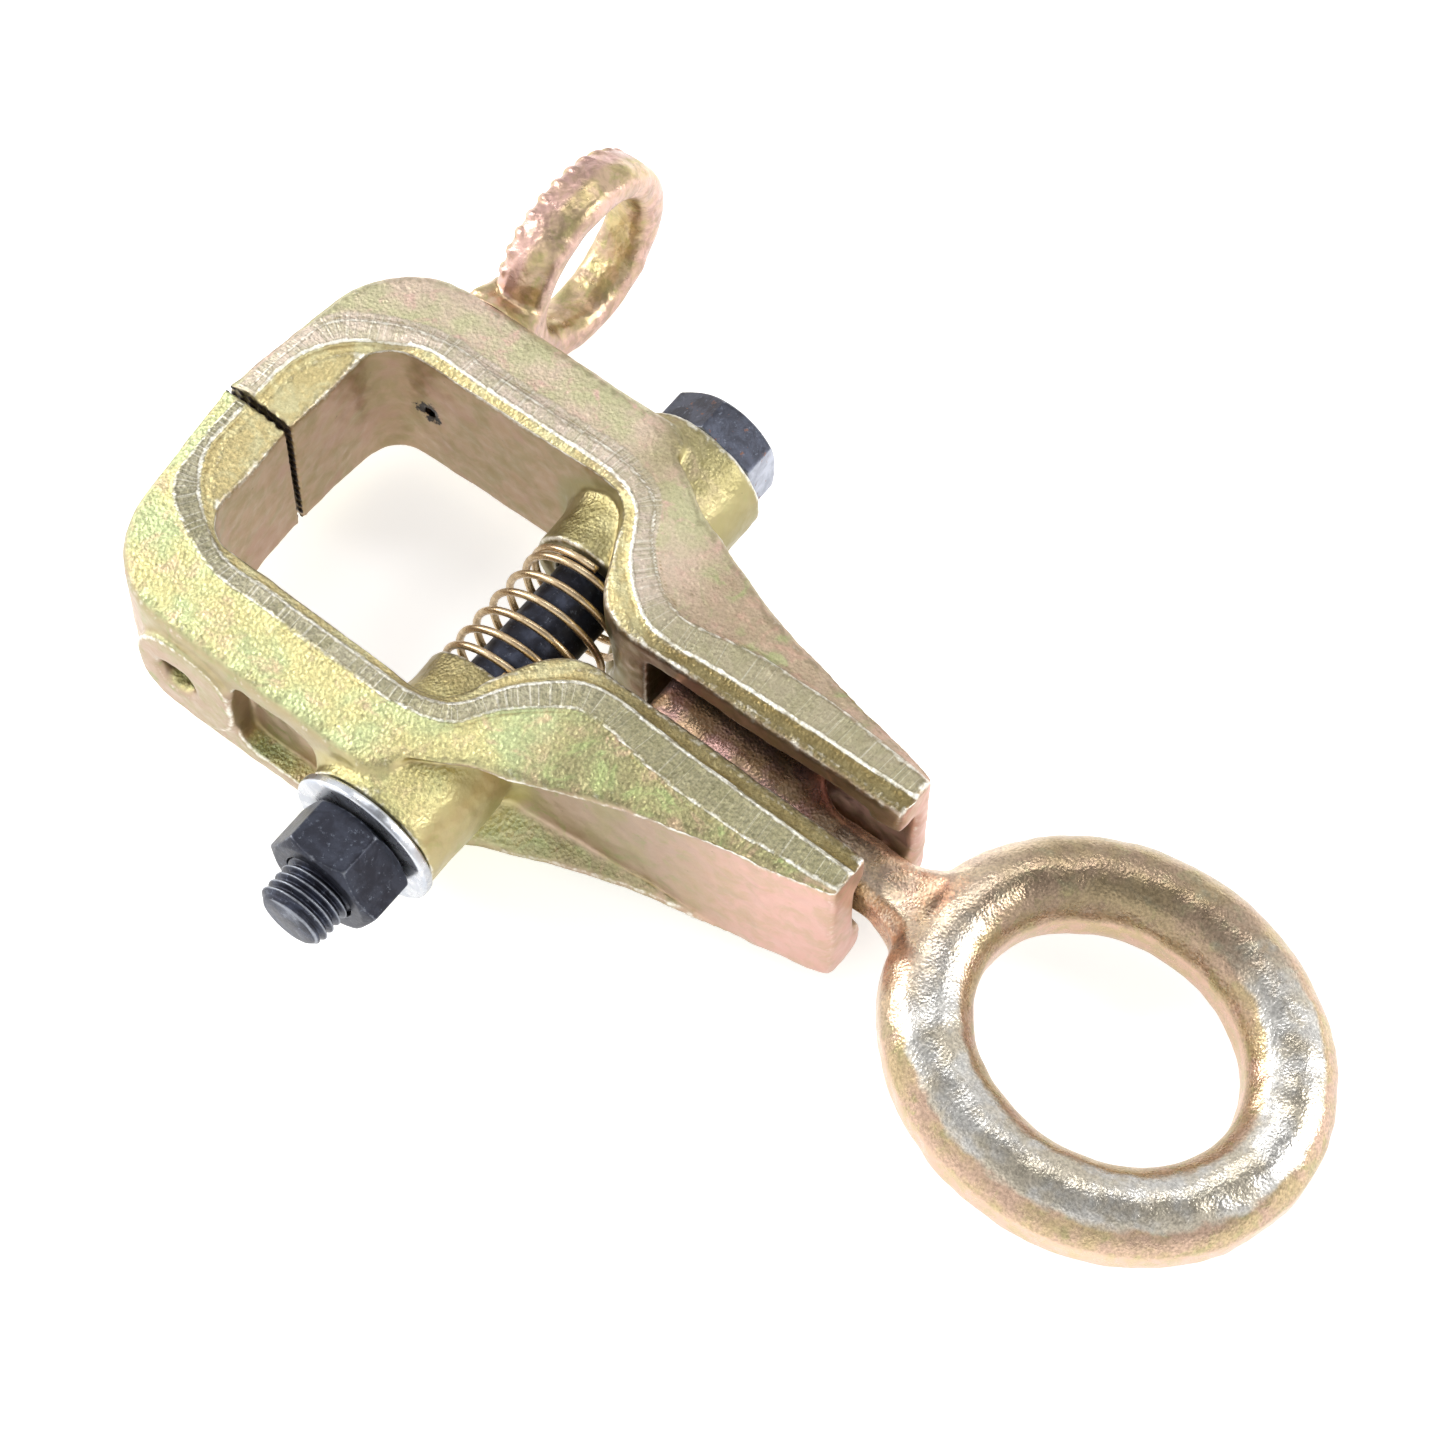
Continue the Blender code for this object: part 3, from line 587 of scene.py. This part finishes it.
def finished_jaw(node, side, material, body, seed, band_extra):
    """A jaw with forged surfaces. Its side is -1 or 1, and band_extra widens the band in front of the bolt."""
    mesh = remeshed(cad_mesh(node), JAW_VOXEL)
    co = points_of(mesh)
    edges = edges_of(mesh)
    low, high = co.min(0), co.max(0)

    # The teeth stay crisp, and everything else is eased and made uneven
    off_teeth = smoothstep(1.2, 2.6, np.abs(co[:, 1]))
    off_teeth = np.maximum(off_teeth, smoothstep(-90, -86, co[:, 0]))
    share = 0.12 + 0.88 * off_teeth
    co = relax(co, edges, 6, share)
    co = relax(co, edges, 26, eased_parts(co))
    set_points(mesh, co)
    normals = normals_of(mesh)
    lift = uneven(co, seed, (0.10, 16.0), (0.06, 6.0), (0.03, 2.6)) - JAW_INSET
    co = lifted(co, normals, lift * share)
    xy = np.column_stack([co[:, 0], co[:, 1] * side])
    into_band, _ = line_distance(xy, BAND_INNER)
    out_of_band, along = line_distance(xy, BAND_OUTER)
    co[:, 2] -= np.sign(co[:, 2]) * ridge_relief(co, normals, into_band, out_of_band)
    co = np.clip(co, low + BOX_SLACK, high - BOX_SLACK)
    set_points(mesh, co)

    # Values that the material reads
    normals = normals_of(mesh)
    flat = smoothstep(0.55, 0.9, np.abs(normals[:, 2]))
    outward = np.column_stack([normals[:, 0], normals[:, 1] * side])
    facing = facing_throat(xy, outward, into_band)
    on_boss = smoothstep(BOSS_EDGE, BOSS_FACE, from_bolt(co))
    # Distance from the middle of that painted black patch.
    dark_patch_distance = np.linalg.norm(co - (EYE_X, DARK_PATCH_Y * side, 0), axis=1)
    # Painted shade along the gap where the two jaws' teeth meet.
    between_teeth = 1 - smoothstep(0.35, 1.25, np.abs(co[:, 1]))
    edge = curvature(co, normals, edges, JAW_VOXEL)
    store(
        mesh,
        upright=soften(1.0 - flat, edges, 2),
        facing_in=soften(facing * (1 - flat), edges, 2),
        into_band=into_band,
        out_of_band=out_of_band - band_extra * smoothstep(-10, -30, xy[:, 0]),
        along_band=along,
        tip=smoothstep(12, 48, xy[:, 0]),
        arm=smoothstep(-16, 2, xy[:, 0]),
        boss=on_boss * (1.0 if side == FAR_SIDE else 0.8),
        seat=on_boss * smoothstep(27, 23, np.abs(co[:, 1])) * (side == NEAR_SIDE),
        smudge=smoothstep(DARK_PATCH_REACH, 0.8, dark_patch_distance) * (xy[:, 1] < 33) * (side == FAR_SIDE),
        bite=between_teeth * smoothstep(TEETH_X, TEETH_X - 2, co[:, 0]),
        edge=np.where(np.abs(co[:, 1]) < 2.5, 0.0, edge))
    piece(f"{node}_forging", mesh, material, node, body)


NEAR_ZINC = jaw_material(
    "near_jaw_zinc",
    slopes=(srgb(212, 203, 146), srgb(194, 203, 152), srgb(214, 194, 156)), arm_slope=srgb(150, 144, 106),
    bands=(srgb(168, 162, 138), srgb(150, 145, 116)), boss=srgb(194, 184, 130), grain_mm=0.9, speckle=0.27)
FAR_ZINC = jaw_material(
    "far_jaw_zinc",
    slopes=(srgb(208, 188, 168), srgb(192, 188, 150), srgb(212, 180, 166)), arm_slope=srgb(174, 154, 130),
    bands=(srgb(206, 190, 174), srgb(190, 180, 156)), boss=srgb(150, 141, 98), grain_mm=0.85, speckle=0.13)
finished_jaw("near_jaw", NEAR_SIDE, NEAR_ZINC, "near_half", seed=11, band_extra=0.0)
finished_jaw("far_jaw", FAR_SIDE, FAR_ZINC, "far_half", seed=23, band_extra=2.4)


# ---------------------------------------------------------------- pull link

def link_material():
    """Gold plate with silvery crests that are partly a painted highlight, copper at the head and a dull, darker
    stretch of the ring.
    """
    s = Shader("link_zinc_plate")
    patches = s.noise(9.0, 3.0, 0.6)
    drift = s.noise(3.5, 4.0, 0.6, distortion=0.5)
    trimmed = s.attribute("trimmed")
    gold = s.tones(patches, 0.38, 0.62, srgb(182, 161, 126), srgb(186, 158, 138))
    gold = s.tones(drift, 0.5, 0.7, gold, srgb(170, 158, 118))
    silver = s.tones(patches, 0.4, 0.62, srgb(214, 213, 210), srgb(206, 198, 180))
    pink = s.tones(drift, 0.4, 0.65, srgb(214, 180, 158), srgb(200, 178, 140))
    bronze = s.tones(drift, 0.4, 0.62, srgb(230, 208, 180), srgb(202, 180, 160))
    copper = s.tones(patches, 0.4, 0.6, srgb(168, 134, 128), srgb(168, 142, 114))

    # The crests are painted silver, partly as their own colour and partly as a painted highlight, with less of
    # it on the dull stretch.
    silvered_highlight = s.ramp(s.total(s.attribute("crest"), s.swing(drift, 0.7)), 0.35, 0.9, 0.0, 0.9)
    colour = s.mix(silvered_highlight, gold, silver)
    colour = s.mix(s.product(s.attribute("dull"), 0.45), colour, srgb(146, 130, 104))
    colour = s.mix(trimmed, colour, pink)
    colour = s.mix(s.attribute("shank"), colour, bronze)
    colour = s.mix(s.attribute("head"), colour, copper)
    # Edges lightened partly for wear and partly as a painted highlight.
    colour = s.mix(s.ramp(s.attribute("edge"), 0.3, 0.9), colour, srgb(236, 232, 218))
    # Random speckle in the colour: partly the grain, partly a painted sparkle.
    speck_and_sparkle = s.ramp(s.noise(0.7, 2.0, 0.7), 0.33, 0.67, 0.72, 1.2, smooth=False)
    rough_share = s.rest_of(s.product(trimmed, 0.85))
    colour = s.mix(rough_share, colour, s.darkened(colour, speck_and_sparkle))

    grain = s.total(s.cells(0.65, 0.4), s.product(s.noise(0.4, 2.0, 0.6), 0.8))
    normal = s.bump(s.product(grain, rough_share), 0.065)
    normal = s.bump(s.noise(7.0, 2.0), 0.2, 0.6, normal)
    roughness = s.ramp(s.noise(3.0, 3.0), 0.3, 0.7, 0.24, 0.32, smooth=False)
    return s.finish(colour, roughness, 0.95, normal)


LINK_VOXEL = 0.55
LINK_INSET = 0.10
HEAD_X = 19.0
LINK_YAW, LINK_PITCH = 1.2, 5.8
LINK_TURN = (
    Matrix.Rotation(math.radians(LINK_YAW), 3, "Z") @ Matrix.Rotation(math.radians(LINK_PITCH), 3, "Y"))
RING_CENTRE = 94.9
RING_HALF_LENGTH = 38.0
RING_HALF_WIDTH = 33.0
RING_FLAT = 9.5
DULL_ANGLE = 122


def finished_link():
    mesh = remeshed(cad_mesh("pull_link"), LINK_VOXEL)
    edges = edges_of(mesh)
    co = relax(points_of(mesh), edges, 12)
    set_points(mesh, co)
    co = lifted(co, normals_of(mesh), uneven(co, 31, (0.12, 12.0), (0.05, 5.0)) - LINK_INSET)
    set_points(mesh, co)

    # In the link's own turned axes, x along it and z across the ring's plane
    normals = normals_of(mesh)
    turn = np.array(LINK_TURN)
    local = (co - (HEAD_X, 0, 0)) @ turn
    tilt = np.abs((normals @ turn)[:, 2])
    angle = np.arctan2(local[:, 1] / RING_HALF_WIDTH, (local[:, 0] - RING_CENTRE) / RING_HALF_LENGTH)
    middle = np.column_stack([
        RING_CENTRE + RING_HALF_LENGTH * np.cos(angle), RING_HALF_WIDTH * np.sin(angle)])
    from_middle = np.linalg.norm(local[:, :2] - middle, axis=1)
    trimmed = smoothstep(RING_FLAT - 0.9, RING_FLAT - 0.45, from_middle) * smoothstep(0.35, 0.15, tilt)
    on_ring = local[:, 0] > RING_CENTRE - RING_HALF_LENGTH - RING_FLAT + 2.0
    # The dull stretch is painted darker and bronze, and takes off part of the crests' painted highlight.
    dull = smoothstep(0.2, 0.95, np.cos(angle - math.radians(DULL_ANGLE)))
    store(
        mesh,
        crest=smoothstep(0.66, 0.93, tilt) * (1 - 0.6 * dull),
        dull=dull,
        trimmed=soften(trimmed * on_ring, edges, 1),
        head=smoothstep(27.0, 20.0, local[:, 0]),
        shank=smoothstep(64.0, 50.0, local[:, 0]),
        edge=curvature(co, normals, edges, LINK_VOXEL))
    piece("pull_link_forging", mesh, link_material(), "pull_link", "link")


finished_link()


# ---------------------------------------------------------------- side eye

def eye_material():
    """Gold plate with a pink trimmed edge, bright edges from wear with a painted highlight, painted shade in
    browner hollows and a pitted surface.
    """
    s = Shader("eye_zinc_plate")
    patches = s.noise(7.0, 3.0, 0.6)
    drift = s.noise(3.0, 4.0, 0.6, distortion=0.5)
    edge = s.attribute("edge")
    colour = s.tones(patches, 0.38, 0.62, srgb(196, 176, 130), srgb(206, 178, 150))
    colour = s.tones(drift, 0.5, 0.7, colour, srgb(184, 172, 122))
    pink = s.tones(drift, 0.4, 0.65, srgb(204, 166, 158), srgb(194, 162, 144))
    colour = s.mix(s.product(s.attribute("trimmed"), 0.9), colour, pink)
    # Edges lightened partly for wear and partly as a painted highlight.
    colour = s.mix(s.ramp(edge, 0.3, 0.9), colour, srgb(240, 234, 210))
    # Painted shade: hollows painted browner and darker.
    colour = s.mix(s.product(s.ramp(edge, -0.7, -0.15, 1.0, 0.0), 0.6), colour, srgb(150, 118, 74))
    colour = s.darkened(colour, s.ramp(s.noise(4.5, 4.0, 0.7, distortion=0.8), 0.38, 0.62, 0.72, 1.0))
    grain = s.total(s.cells(1.4, 0.5), s.product(s.noise(0.6, 3.0, 0.7), 0.8))
    normal = s.bump(grain, 0.10)
    normal = s.bump(s.cells(4.5, 0.15), 0.5, 0.7, normal)
    roughness = s.ramp(s.noise(3.0, 3.0), 0.3, 0.7, 0.26, 0.40, smooth=False)
    return s.finish(colour, roughness, 0.9, normal)


EYE_VOXEL = 0.45
EYE_INSET = 0.08
EYE_SEAT_INSET = 0.14
EYE_CENTRE_Y = 79.6
EYE_MIDDLE_RADIUS = 20.3
EYE_HALF_RADIAL = 4.3
EYE_HALF_THICK = 6.3
EYE_SEAT_Y = 52.8
EYE_RIBS_PER_TURN = 32
EYE_RIB_HEIGHT = 0.6


def back_ribs(co):
    """Plain raised ribs on the shoulder of the eye's back, round its upper half."""
    radius = np.hypot(co[:, 1] - EYE_CENTRE_Y, co[:, 2])
    angle = np.degrees(np.arctan2(co[:, 2], co[:, 1] - EYE_CENTRE_Y))
    back = smoothstep(0.45, 0.75, (EYE_X - co[:, 0]) / EYE_HALF_THICK)
    outer = smoothstep(-0.1, 0.2, (radius - EYE_MIDDLE_RADIUS) / EYE_HALF_RADIAL)
    within = smoothstep(14, 18, angle) * smoothstep(166, 162, angle)
    return smoothstep(-0.3, 0.9, np.cos(np.radians(angle * EYE_RIBS_PER_TURN))) * back * outer * within


def finished_eye():
    mesh = remeshed(cad_mesh("side_eye"), EYE_VOXEL)
    edges = edges_of(mesh)
    co = points_of(mesh)
    low, high = co.min(0), co.max(0)
    co = relax(co, edges, 14)
    set_points(mesh, co)

    # The faces on the pad stay clear of it, so the eye can turn
    lift = uneven(co, 41, (0.12, 9.0), (0.06, 4.0)) - EYE_INSET + EYE_RIB_HEIGHT * back_ribs(co)
    seated = smoothstep(EYE_SEAT_Y + 1.4, EYE_SEAT_Y, co[:, 1])
    lift = lift * (1 - seated) - EYE_SEAT_INSET * seated
    co = np.clip(lifted(co, normals_of(mesh), lift), low + BOX_SLACK, high - BOX_SLACK)
    set_points(mesh, co)

    normals = normals_of(mesh)
    from_centre = np.column_stack([co[:, 1] - EYE_CENTRE_Y, co[:, 2]])
    from_centre /= np.linalg.norm(from_centre, axis=1)[:, None] + 1e-9
    outward = np.einsum("ij,ij->i", normals[:, 1:], from_centre)
    behind = smoothstep(1.2, -0.8, co[:, 0] - EYE_X)
    trimmed = np.maximum(smoothstep(0.5, 0.8, outward) * behind, 0.8 * smoothstep(0.6, 0.9, normals[:, 0]))
    edge = curvature(co, normals, edges, EYE_VOXEL) * (1 - back_ribs(co))
    store(mesh, trimmed=soften(trimmed, edges, 2), edge=edge)
    piece("side_eye_forging", mesh, eye_material(), "side_eye", "eye")


finished_eye()


# ---------------------------------------------------------------- bolt, nut, washer, spring

BOLT_RADIUS = 8.0
THREAD_MINOR = 6.9
THREAD_PITCH = 2.0
THREAD_START_Y = -38.0
BOLT_END_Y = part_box("clamp_bolt")[0].y / MM - ORIGIN.y / MM
HEAD_Y = 54.3
ROD_START_Y = HEAD_Y + 1.0
HARDWARE_VOXEL = 0.3
WASHER_VOXEL = 0.28


def black_material(name, base, blue, wear_colour, grain_mm, rust):
    """Black oxide with blue patches and grey scuffs. The bolt's also has a head with scouring and a painted
    reflection on its flats, and rust spots.
    """
    s = Shader(name)
    patches = s.noise(5.0, 4.0, 0.65, distortion=0.4)
    scuff = s.noise(1.2, 4.0, 0.75)
    colour = s.tones(patches, 0.4, 0.62, base, blue)
    colour = s.mix(s.ramp(scuff, 0.57, 0.70, 0.0, 0.7), colour, wear_colour)
    if rust:
        # Scouring marks and a painted reflection: the head's flats that don't face up are painted light grey.
        scoured = s.tones(patches, 0.38, 0.62, srgb(146, 150, 162), srgb(176, 180, 192))
        colour = s.mix(s.attribute("scoured"), colour, scoured)
        spots = s.ramp(s.noise(2.2, 3.0, 0.7), 0.62, 0.70, 0.0, 0.8)
        colour = s.mix(s.product(spots, s.attribute("head")), colour, srgb(126, 86, 66))
    lightened_edge = s.ramp(s.total(s.attribute("edge"), s.swing(scuff, 0.6)), 0.35, 1.0)
    colour = s.mix(lightened_edge, colour, srgb(150, 154, 162))
    grain = s.total(s.noise(grain_mm, 3.0, 0.7), s.product(s.cells(grain_mm * 2, 0.4), 0.5))
    roughness = s.ramp(scuff, 0.35, 0.7, 0.34, 0.5, smooth=False)
    return s.finish(colour, roughness, 0.75, s.bump(grain, 0.06))


def tube_mesh(name, co, around):
    """A closed tube through rows of that many points each."""
    faces = []
    last = len(co) - around
    for base in range(0, last, around):
        for column in range(around):
            after = (column + 1) % around
            faces.append((base + column, base + after, base + around + after, base + around + column))
    faces += [tuple(range(around))[::-1], tuple(last + column for column in range(around))]
    mesh = bpy.data.meshes.new(name)
    mesh.from_pydata([tuple(point) for point in co], [], faces)
    bm = bmesh.new()
    bm.from_mesh(mesh)
    bmesh.ops.recalc_face_normals(bm, faces=bm.faces)
    bm.to_mesh(mesh)
    bm.free()
    return mesh


def threaded_rod():
    """The bolt's shank: plain, then a right-hand thread that runs out to a chamfered end. It also gives how
    much each point lies on the thread's crest."""
    around = 72
    step = 0.2
    length = ROD_START_Y - BOLT_END_Y
    travel = np.linspace(0.0, length, int(length / step) + 1)
    angle = np.linspace(0, 2 * math.pi, around, endpoint=False)
    s, a = np.meshgrid(travel, angle, indexing="ij")
    phase = (s / THREAD_PITCH - a / (2 * math.pi)) % 1.0
    tooth = np.clip(np.abs(phase - 0.5) * 2 * 1.25 - 0.12, 0, 1)
    start = ROD_START_Y - THREAD_START_Y
    depth = (BOLT_RADIUS - THREAD_MINOR) * smoothstep(start - 1.0, start + 3.0, s)
    radius = BOLT_RADIUS - 0.02 - depth * (1 - tooth)
    radius = np.minimum(radius, 6.3 + 1.15 * (length - s))
    co = np.stack([BOLT_X + radius * np.cos(a), ROD_START_Y - s, radius * np.sin(a)], axis=-1)
    crest = smoothstep(0.55, 1.0, tooth) * smoothstep(start, start + 3.0, s)
    return tube_mesh("threaded_rod", co.reshape(-1, 3), around), crest.reshape(-1)


def bolt_head_mesh(voxel):
    """The head alone, cut from the CAD bolt's mesh just inside its seat."""
    mesh = cad_mesh("clamp_bolt")
    bm = bmesh.new()
    bm.from_mesh(mesh)
    cut = bmesh.ops.bisect_plane(
        bm, geom=bm.verts[:] + bm.edges[:] + bm.faces[:],
        plane_co=(0, HEAD_Y + 0.35, 0), plane_no=(0, 1, 0), clear_inner=True)
    rim = [item for item in cut["geom_cut"] if isinstance(item, bmesh.types.BMEdge)]
    bmesh.ops.edgenet_fill(bm, edges=rim)
    bmesh.ops.recalc_face_normals(bm, faces=bm.faces)
    bm.to_mesh(mesh)
    bm.free()
    return remeshed(mesh, voxel)


def eased_edge(mesh, voxel, rounds):
    """Eases the mesh and gives its curvature."""
    edges = edges_of(mesh)
    co = relax(points_of(mesh), edges, rounds)
    set_points(mesh, co)
    return curvature(co, normals_of(mesh), edges, voxel)


def finished_bolt():
    head = bolt_head_mesh(HARDWARE_VOXEL)
    head_edge = eased_edge(head, HARDWARE_VOXEL, 5)
    rod, crest = threaded_rod()
    facing = normals_of(head)
    # Painted reflection with real scouring: flats facing sideways or down are lighter, flats facing up stay
    # dark.
    side_flats = smoothstep(0.6, 0.3, np.abs(facing[:, 1]))
    scoured = (1.0 - 0.92 * smoothstep(0.3, 0.7, facing[:, 2])) * (0.2 + 0.8 * side_flats)
    store(head, edge=head_edge, scoured=scoured, head=np.ones(len(scoured)))
    store(rod, edge=crest * 0.8, scoured=np.zeros(len(crest)), head=np.zeros(len(crest)))
    bm = bmesh.new()
    bm.from_mesh(head)
    bm.from_mesh(rod)
    mesh = bpy.data.meshes.new("bolt")
    bm.to_mesh(mesh)
    bm.free()
    material = black_material(
        "bolt_black_oxide", srgb(40, 41, 50), srgb(58, 62, 76), srgb(116, 122, 136), 0.8, rust=True)
    piece("bolt_with_thread", mesh, material, "clamp_bolt", "far_half")


def finished_nut():
    mesh = remeshed(cad_mesh("clamp_nut"), HARDWARE_VOXEL)
    store(mesh, edge=eased_edge(mesh, HARDWARE_VOXEL, 5))
    material = black_material(
        "nut_black_oxide", srgb(42, 43, 52), srgb(56, 59, 70), srgb(106, 112, 124), 0.9, rust=False)
    piece("nut_hexagon", mesh, material, "clamp_nut", "nut")


def finished_washer():
    mesh = remeshed(cad_mesh("flat_washer"), WASHER_VOXEL)
    store(mesh, edge=eased_edge(mesh, WASHER_VOXEL, 3))
    s = Shader("washer_bright_zinc")
    tone = s.tones(s.noise(4.0, 3.0), 0.4, 0.6, srgb(206, 208, 212), srgb(186, 190, 198))
    roughness = s.ramp(s.noise(2.0, 3.0), 0.35, 0.65, 0.24, 0.36, smooth=False)
    material = s.finish(tone, roughness, 0.95, s.bump(s.noise(0.7, 3.0, 0.7), 0.03))
    piece("washer_plate", mesh, material, "flat_washer", "washer")


SPRING_RADIUS = 13.1
SPRING_WIRE = 0.85
SPRING_TURNS = 7.0
SPRING_START_ANGLE = 76
SEAT_Y = 16.5
SEAT_GAP = 0.3


def spring_path(turns):
    """Points of the wire's middle, closed up over the first and the last turn."""
    per_turn = 72
    closed_pitch = 2 * SPRING_WIRE + 0.15
    length = 2 * (SEAT_Y - SEAT_GAP - SPRING_WIRE)
    open_pitch = (length - 2 * closed_pitch) / (turns - 2)
    turn = np.arange(int(turns * per_turn) + 1) / per_turn
    is_open = smoothstep(0.75, 1.25, turn) * smoothstep(turns - 0.75, turns - 1.25, turn)
    pitch = closed_pitch + (open_pitch - closed_pitch) * is_open
    y = np.concatenate([[0.0], np.cumsum((pitch[1:] + pitch[:-1]) / 2 / per_turn)])
    y = (y / y[-1] - 0.5) * length
    angle = math.radians(SPRING_START_ANGLE) - 2 * math.pi * turn
    return np.column_stack([
        BOLT_X + SPRING_RADIUS * np.cos(angle), y, SPRING_RADIUS * np.sin(angle)])


def wire_mesh(path, radius):
    """A round wire along a path that winds about the bolt's axis."""
    around = 16
    tangent = np.gradient(path, axis=0)
    tangent /= np.linalg.norm(tangent, axis=1)[:, None]
    out = path - np.column_stack([np.full(len(path), BOLT_X), path[:, 1], np.zeros(len(path))])
    out /= np.linalg.norm(out, axis=1)[:, None]
    out -= np.einsum("ij,ij->i", out, tangent)[:, None] * tangent
    out /= np.linalg.norm(out, axis=1)[:, None]
    side = np.cross(tangent, out)
    rings = []
    for step in range(around):
        angle = 2 * math.pi * step / around
        rings.append(path + radius * (math.cos(angle) * out + math.sin(angle) * side))
    return tube_mesh("wire", np.stack(rings, axis=1).reshape(-1, 3), around)


def finished_spring():
    s = Shader("spring_bronze")
    tone = s.tones(s.noise(3.0, 3.0), 0.4, 0.6, srgb(210, 188, 154), srgb(188, 164, 130))
    tone = s.mix(s.ramp(s.noise(0.5, 3.0, 0.7), 0.58, 0.72, 0.0, 0.6), tone, srgb(226, 212, 188))
    roughness = s.ramp(s.noise(1.5, 3.0), 0.35, 0.65, 0.22, 0.34, smooth=False)
    material = s.finish(tone, roughness, 0.95, s.bump(s.noise(0.5, 2.0, 0.6), 0.03))
    mesh = wire_mesh(spring_path(SPRING_TURNS), SPRING_WIRE)
    spring = piece("spring_coils", mesh, material, "return_spring", None)
    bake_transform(spring)


finished_bolt()
finished_nut()
finished_washer()
finished_spring()


# ---------------------------------------------------------------- floor, light, camera

# Lengths of the floor and the lights are metres in the frame
FLOOR_HALF = 3.0
FLOOR_DROP = 0.0004
FLOOR_GLOW = 0.56
WHITE = (1.0, 1.0, 1.0, 1.0)


def make_floor():
    """White paper that glows a little, as inside a light tent."""
    mesh = bpy.data.meshes.new("floor")
    half = FLOOR_HALF
    corners = [(-half, -half, 0), (half, -half, 0), (half, half, 0), (-half, half, 0)]
    mesh.from_pydata(corners, [], [(0, 1, 2, 3)])
    s = Shader("floor_paper")
    tone = s.tones(s.noise(60.0, 3.0), 0.3, 0.7, (0.90, 0.90, 0.90), (0.92, 0.92, 0.92))
    mesh.materials.append(s.finish(tone, 0.85, 0.0))
    s.principled.inputs["Specular IOR Level"].default_value = 0.1
    s.principled.inputs["Emission Color"].default_value = WHITE
    s.principled.inputs["Emission Strength"].default_value = FLOOR_GLOW
    floor = bpy.data.objects.new("floor", mesh)
    floor.location = (0, 0, -FLOOR_DROP)
    bpy.context.scene.collection.objects.link(floor)


def soft_box(name, place, size, power, target=(0, 0, 0.02)):
    """A rectangular light of that size in metres and power in watts, turned to the target."""
    light = bpy.data.lights.new(name, "AREA")
    light.shape = "RECTANGLE"
    light.size, light.size_y = size
    light.energy = power
    lamp = bpy.data.objects.new(name, light)
    lamp.location = place
    lamp.rotation_euler = (Vector(target) - Vector(place)).to_track_quat("-Z", "Y").to_euler()
    bpy.context.scene.collection.objects.link(lamp)


KEY_DIRECTION = (-0.48, -0.66, 0.58)
TENT_STRENGTHS = (0.92, 0.20)
KEY_STRENGTH = 0.42


def make_lights():
    """A white light tent, brighter on the key's side and darker overhead, with three soft boxes."""
    world = bpy.data.worlds.new("studio")
    world.use_nodes = True
    nodes = world.node_tree.nodes
    links = world.node_tree.links
    direction = nodes.new("ShaderNodeTexCoord").outputs["Generated"]
    parts = nodes.new("ShaderNodeSeparateXYZ")
    links.new(direction, parts.inputs[0])
    towards = nodes.new("ShaderNodeVectorMath")
    towards.operation = "DOT_PRODUCT"
    towards.inputs[1].default_value = KEY_DIRECTION
    links.new(direction, towards.inputs[0])
    tent = map_range(world.node_tree, parts.outputs["Z"], 0.55, 0.93, *TENT_STRENGTHS)
    key = map_range(world.node_tree, towards.outputs["Value"], 0.1, 0.95, 0.0, KEY_STRENGTH)
    total = nodes.new("ShaderNodeMath")
    links.new(tent, total.inputs[0])
    links.new(key, total.inputs[1])
    links.new(total.outputs[0], nodes["Background"].inputs["Strength"])
    nodes["Background"].inputs["Color"].default_value = WHITE
    bpy.context.scene.world = world
    soft_box("left_key", (-1.05, -0.25, 0.62), (0.30, 0.8), 9.0)
    soft_box("right_fill", (0.85, 0.55, 0.6), (0.30, 0.8), 7.5)
    soft_box("over_strip", (-0.27, 0.50, 1.10), (0.75, 0.14), 2.6, (0.06, 0.0, 0.02))


# Degrees, and millimetres to the point that the camera looks at
CAMERA_AZIMUTH, CAMERA_ELEVATION, CAMERA_ROLL = 36.42, 62.09, 1.38
CAMERA_DISTANCE = 849.4
CAMERA_TARGET = (12.21, 8.80, 0)
CAMERA_LENS = 104.4


def make_camera():
    """The view from over the near arm's side, at the height and distance fitted to the photograph."""
    azimuth, elevation, roll = map(math.radians, (CAMERA_AZIMUTH, CAMERA_ELEVATION, CAMERA_ROLL))
    back = Vector((
        math.sin(azimuth) * math.cos(elevation), -math.cos(azimuth) * math.cos(elevation), math.sin(elevation)))
    right = Vector((math.cos(azimuth), math.sin(azimuth), 0))
    up = back.cross(right)
    across = right * math.cos(roll) + up * math.sin(roll)
    upwards = up * math.cos(roll) - right * math.sin(roll)
    data = bpy.data.cameras.new("camera")
    data.lens = CAMERA_LENS
    data.sensor_width = 36
    data.clip_start = 0.05
    camera = bpy.data.objects.new("camera", data)
    matrix = Matrix((across, upwards, back)).transposed().to_4x4()
    matrix.translation = jaw_point(*CAMERA_TARGET) + back * CAMERA_DISTANCE * MM
    camera.matrix_world = matrix
    bpy.context.scene.collection.objects.link(camera)
    bpy.context.scene.camera = camera


make_floor()
make_lights()
make_camera()
bpy.context.scene.view_settings.view_transform = "Standard"
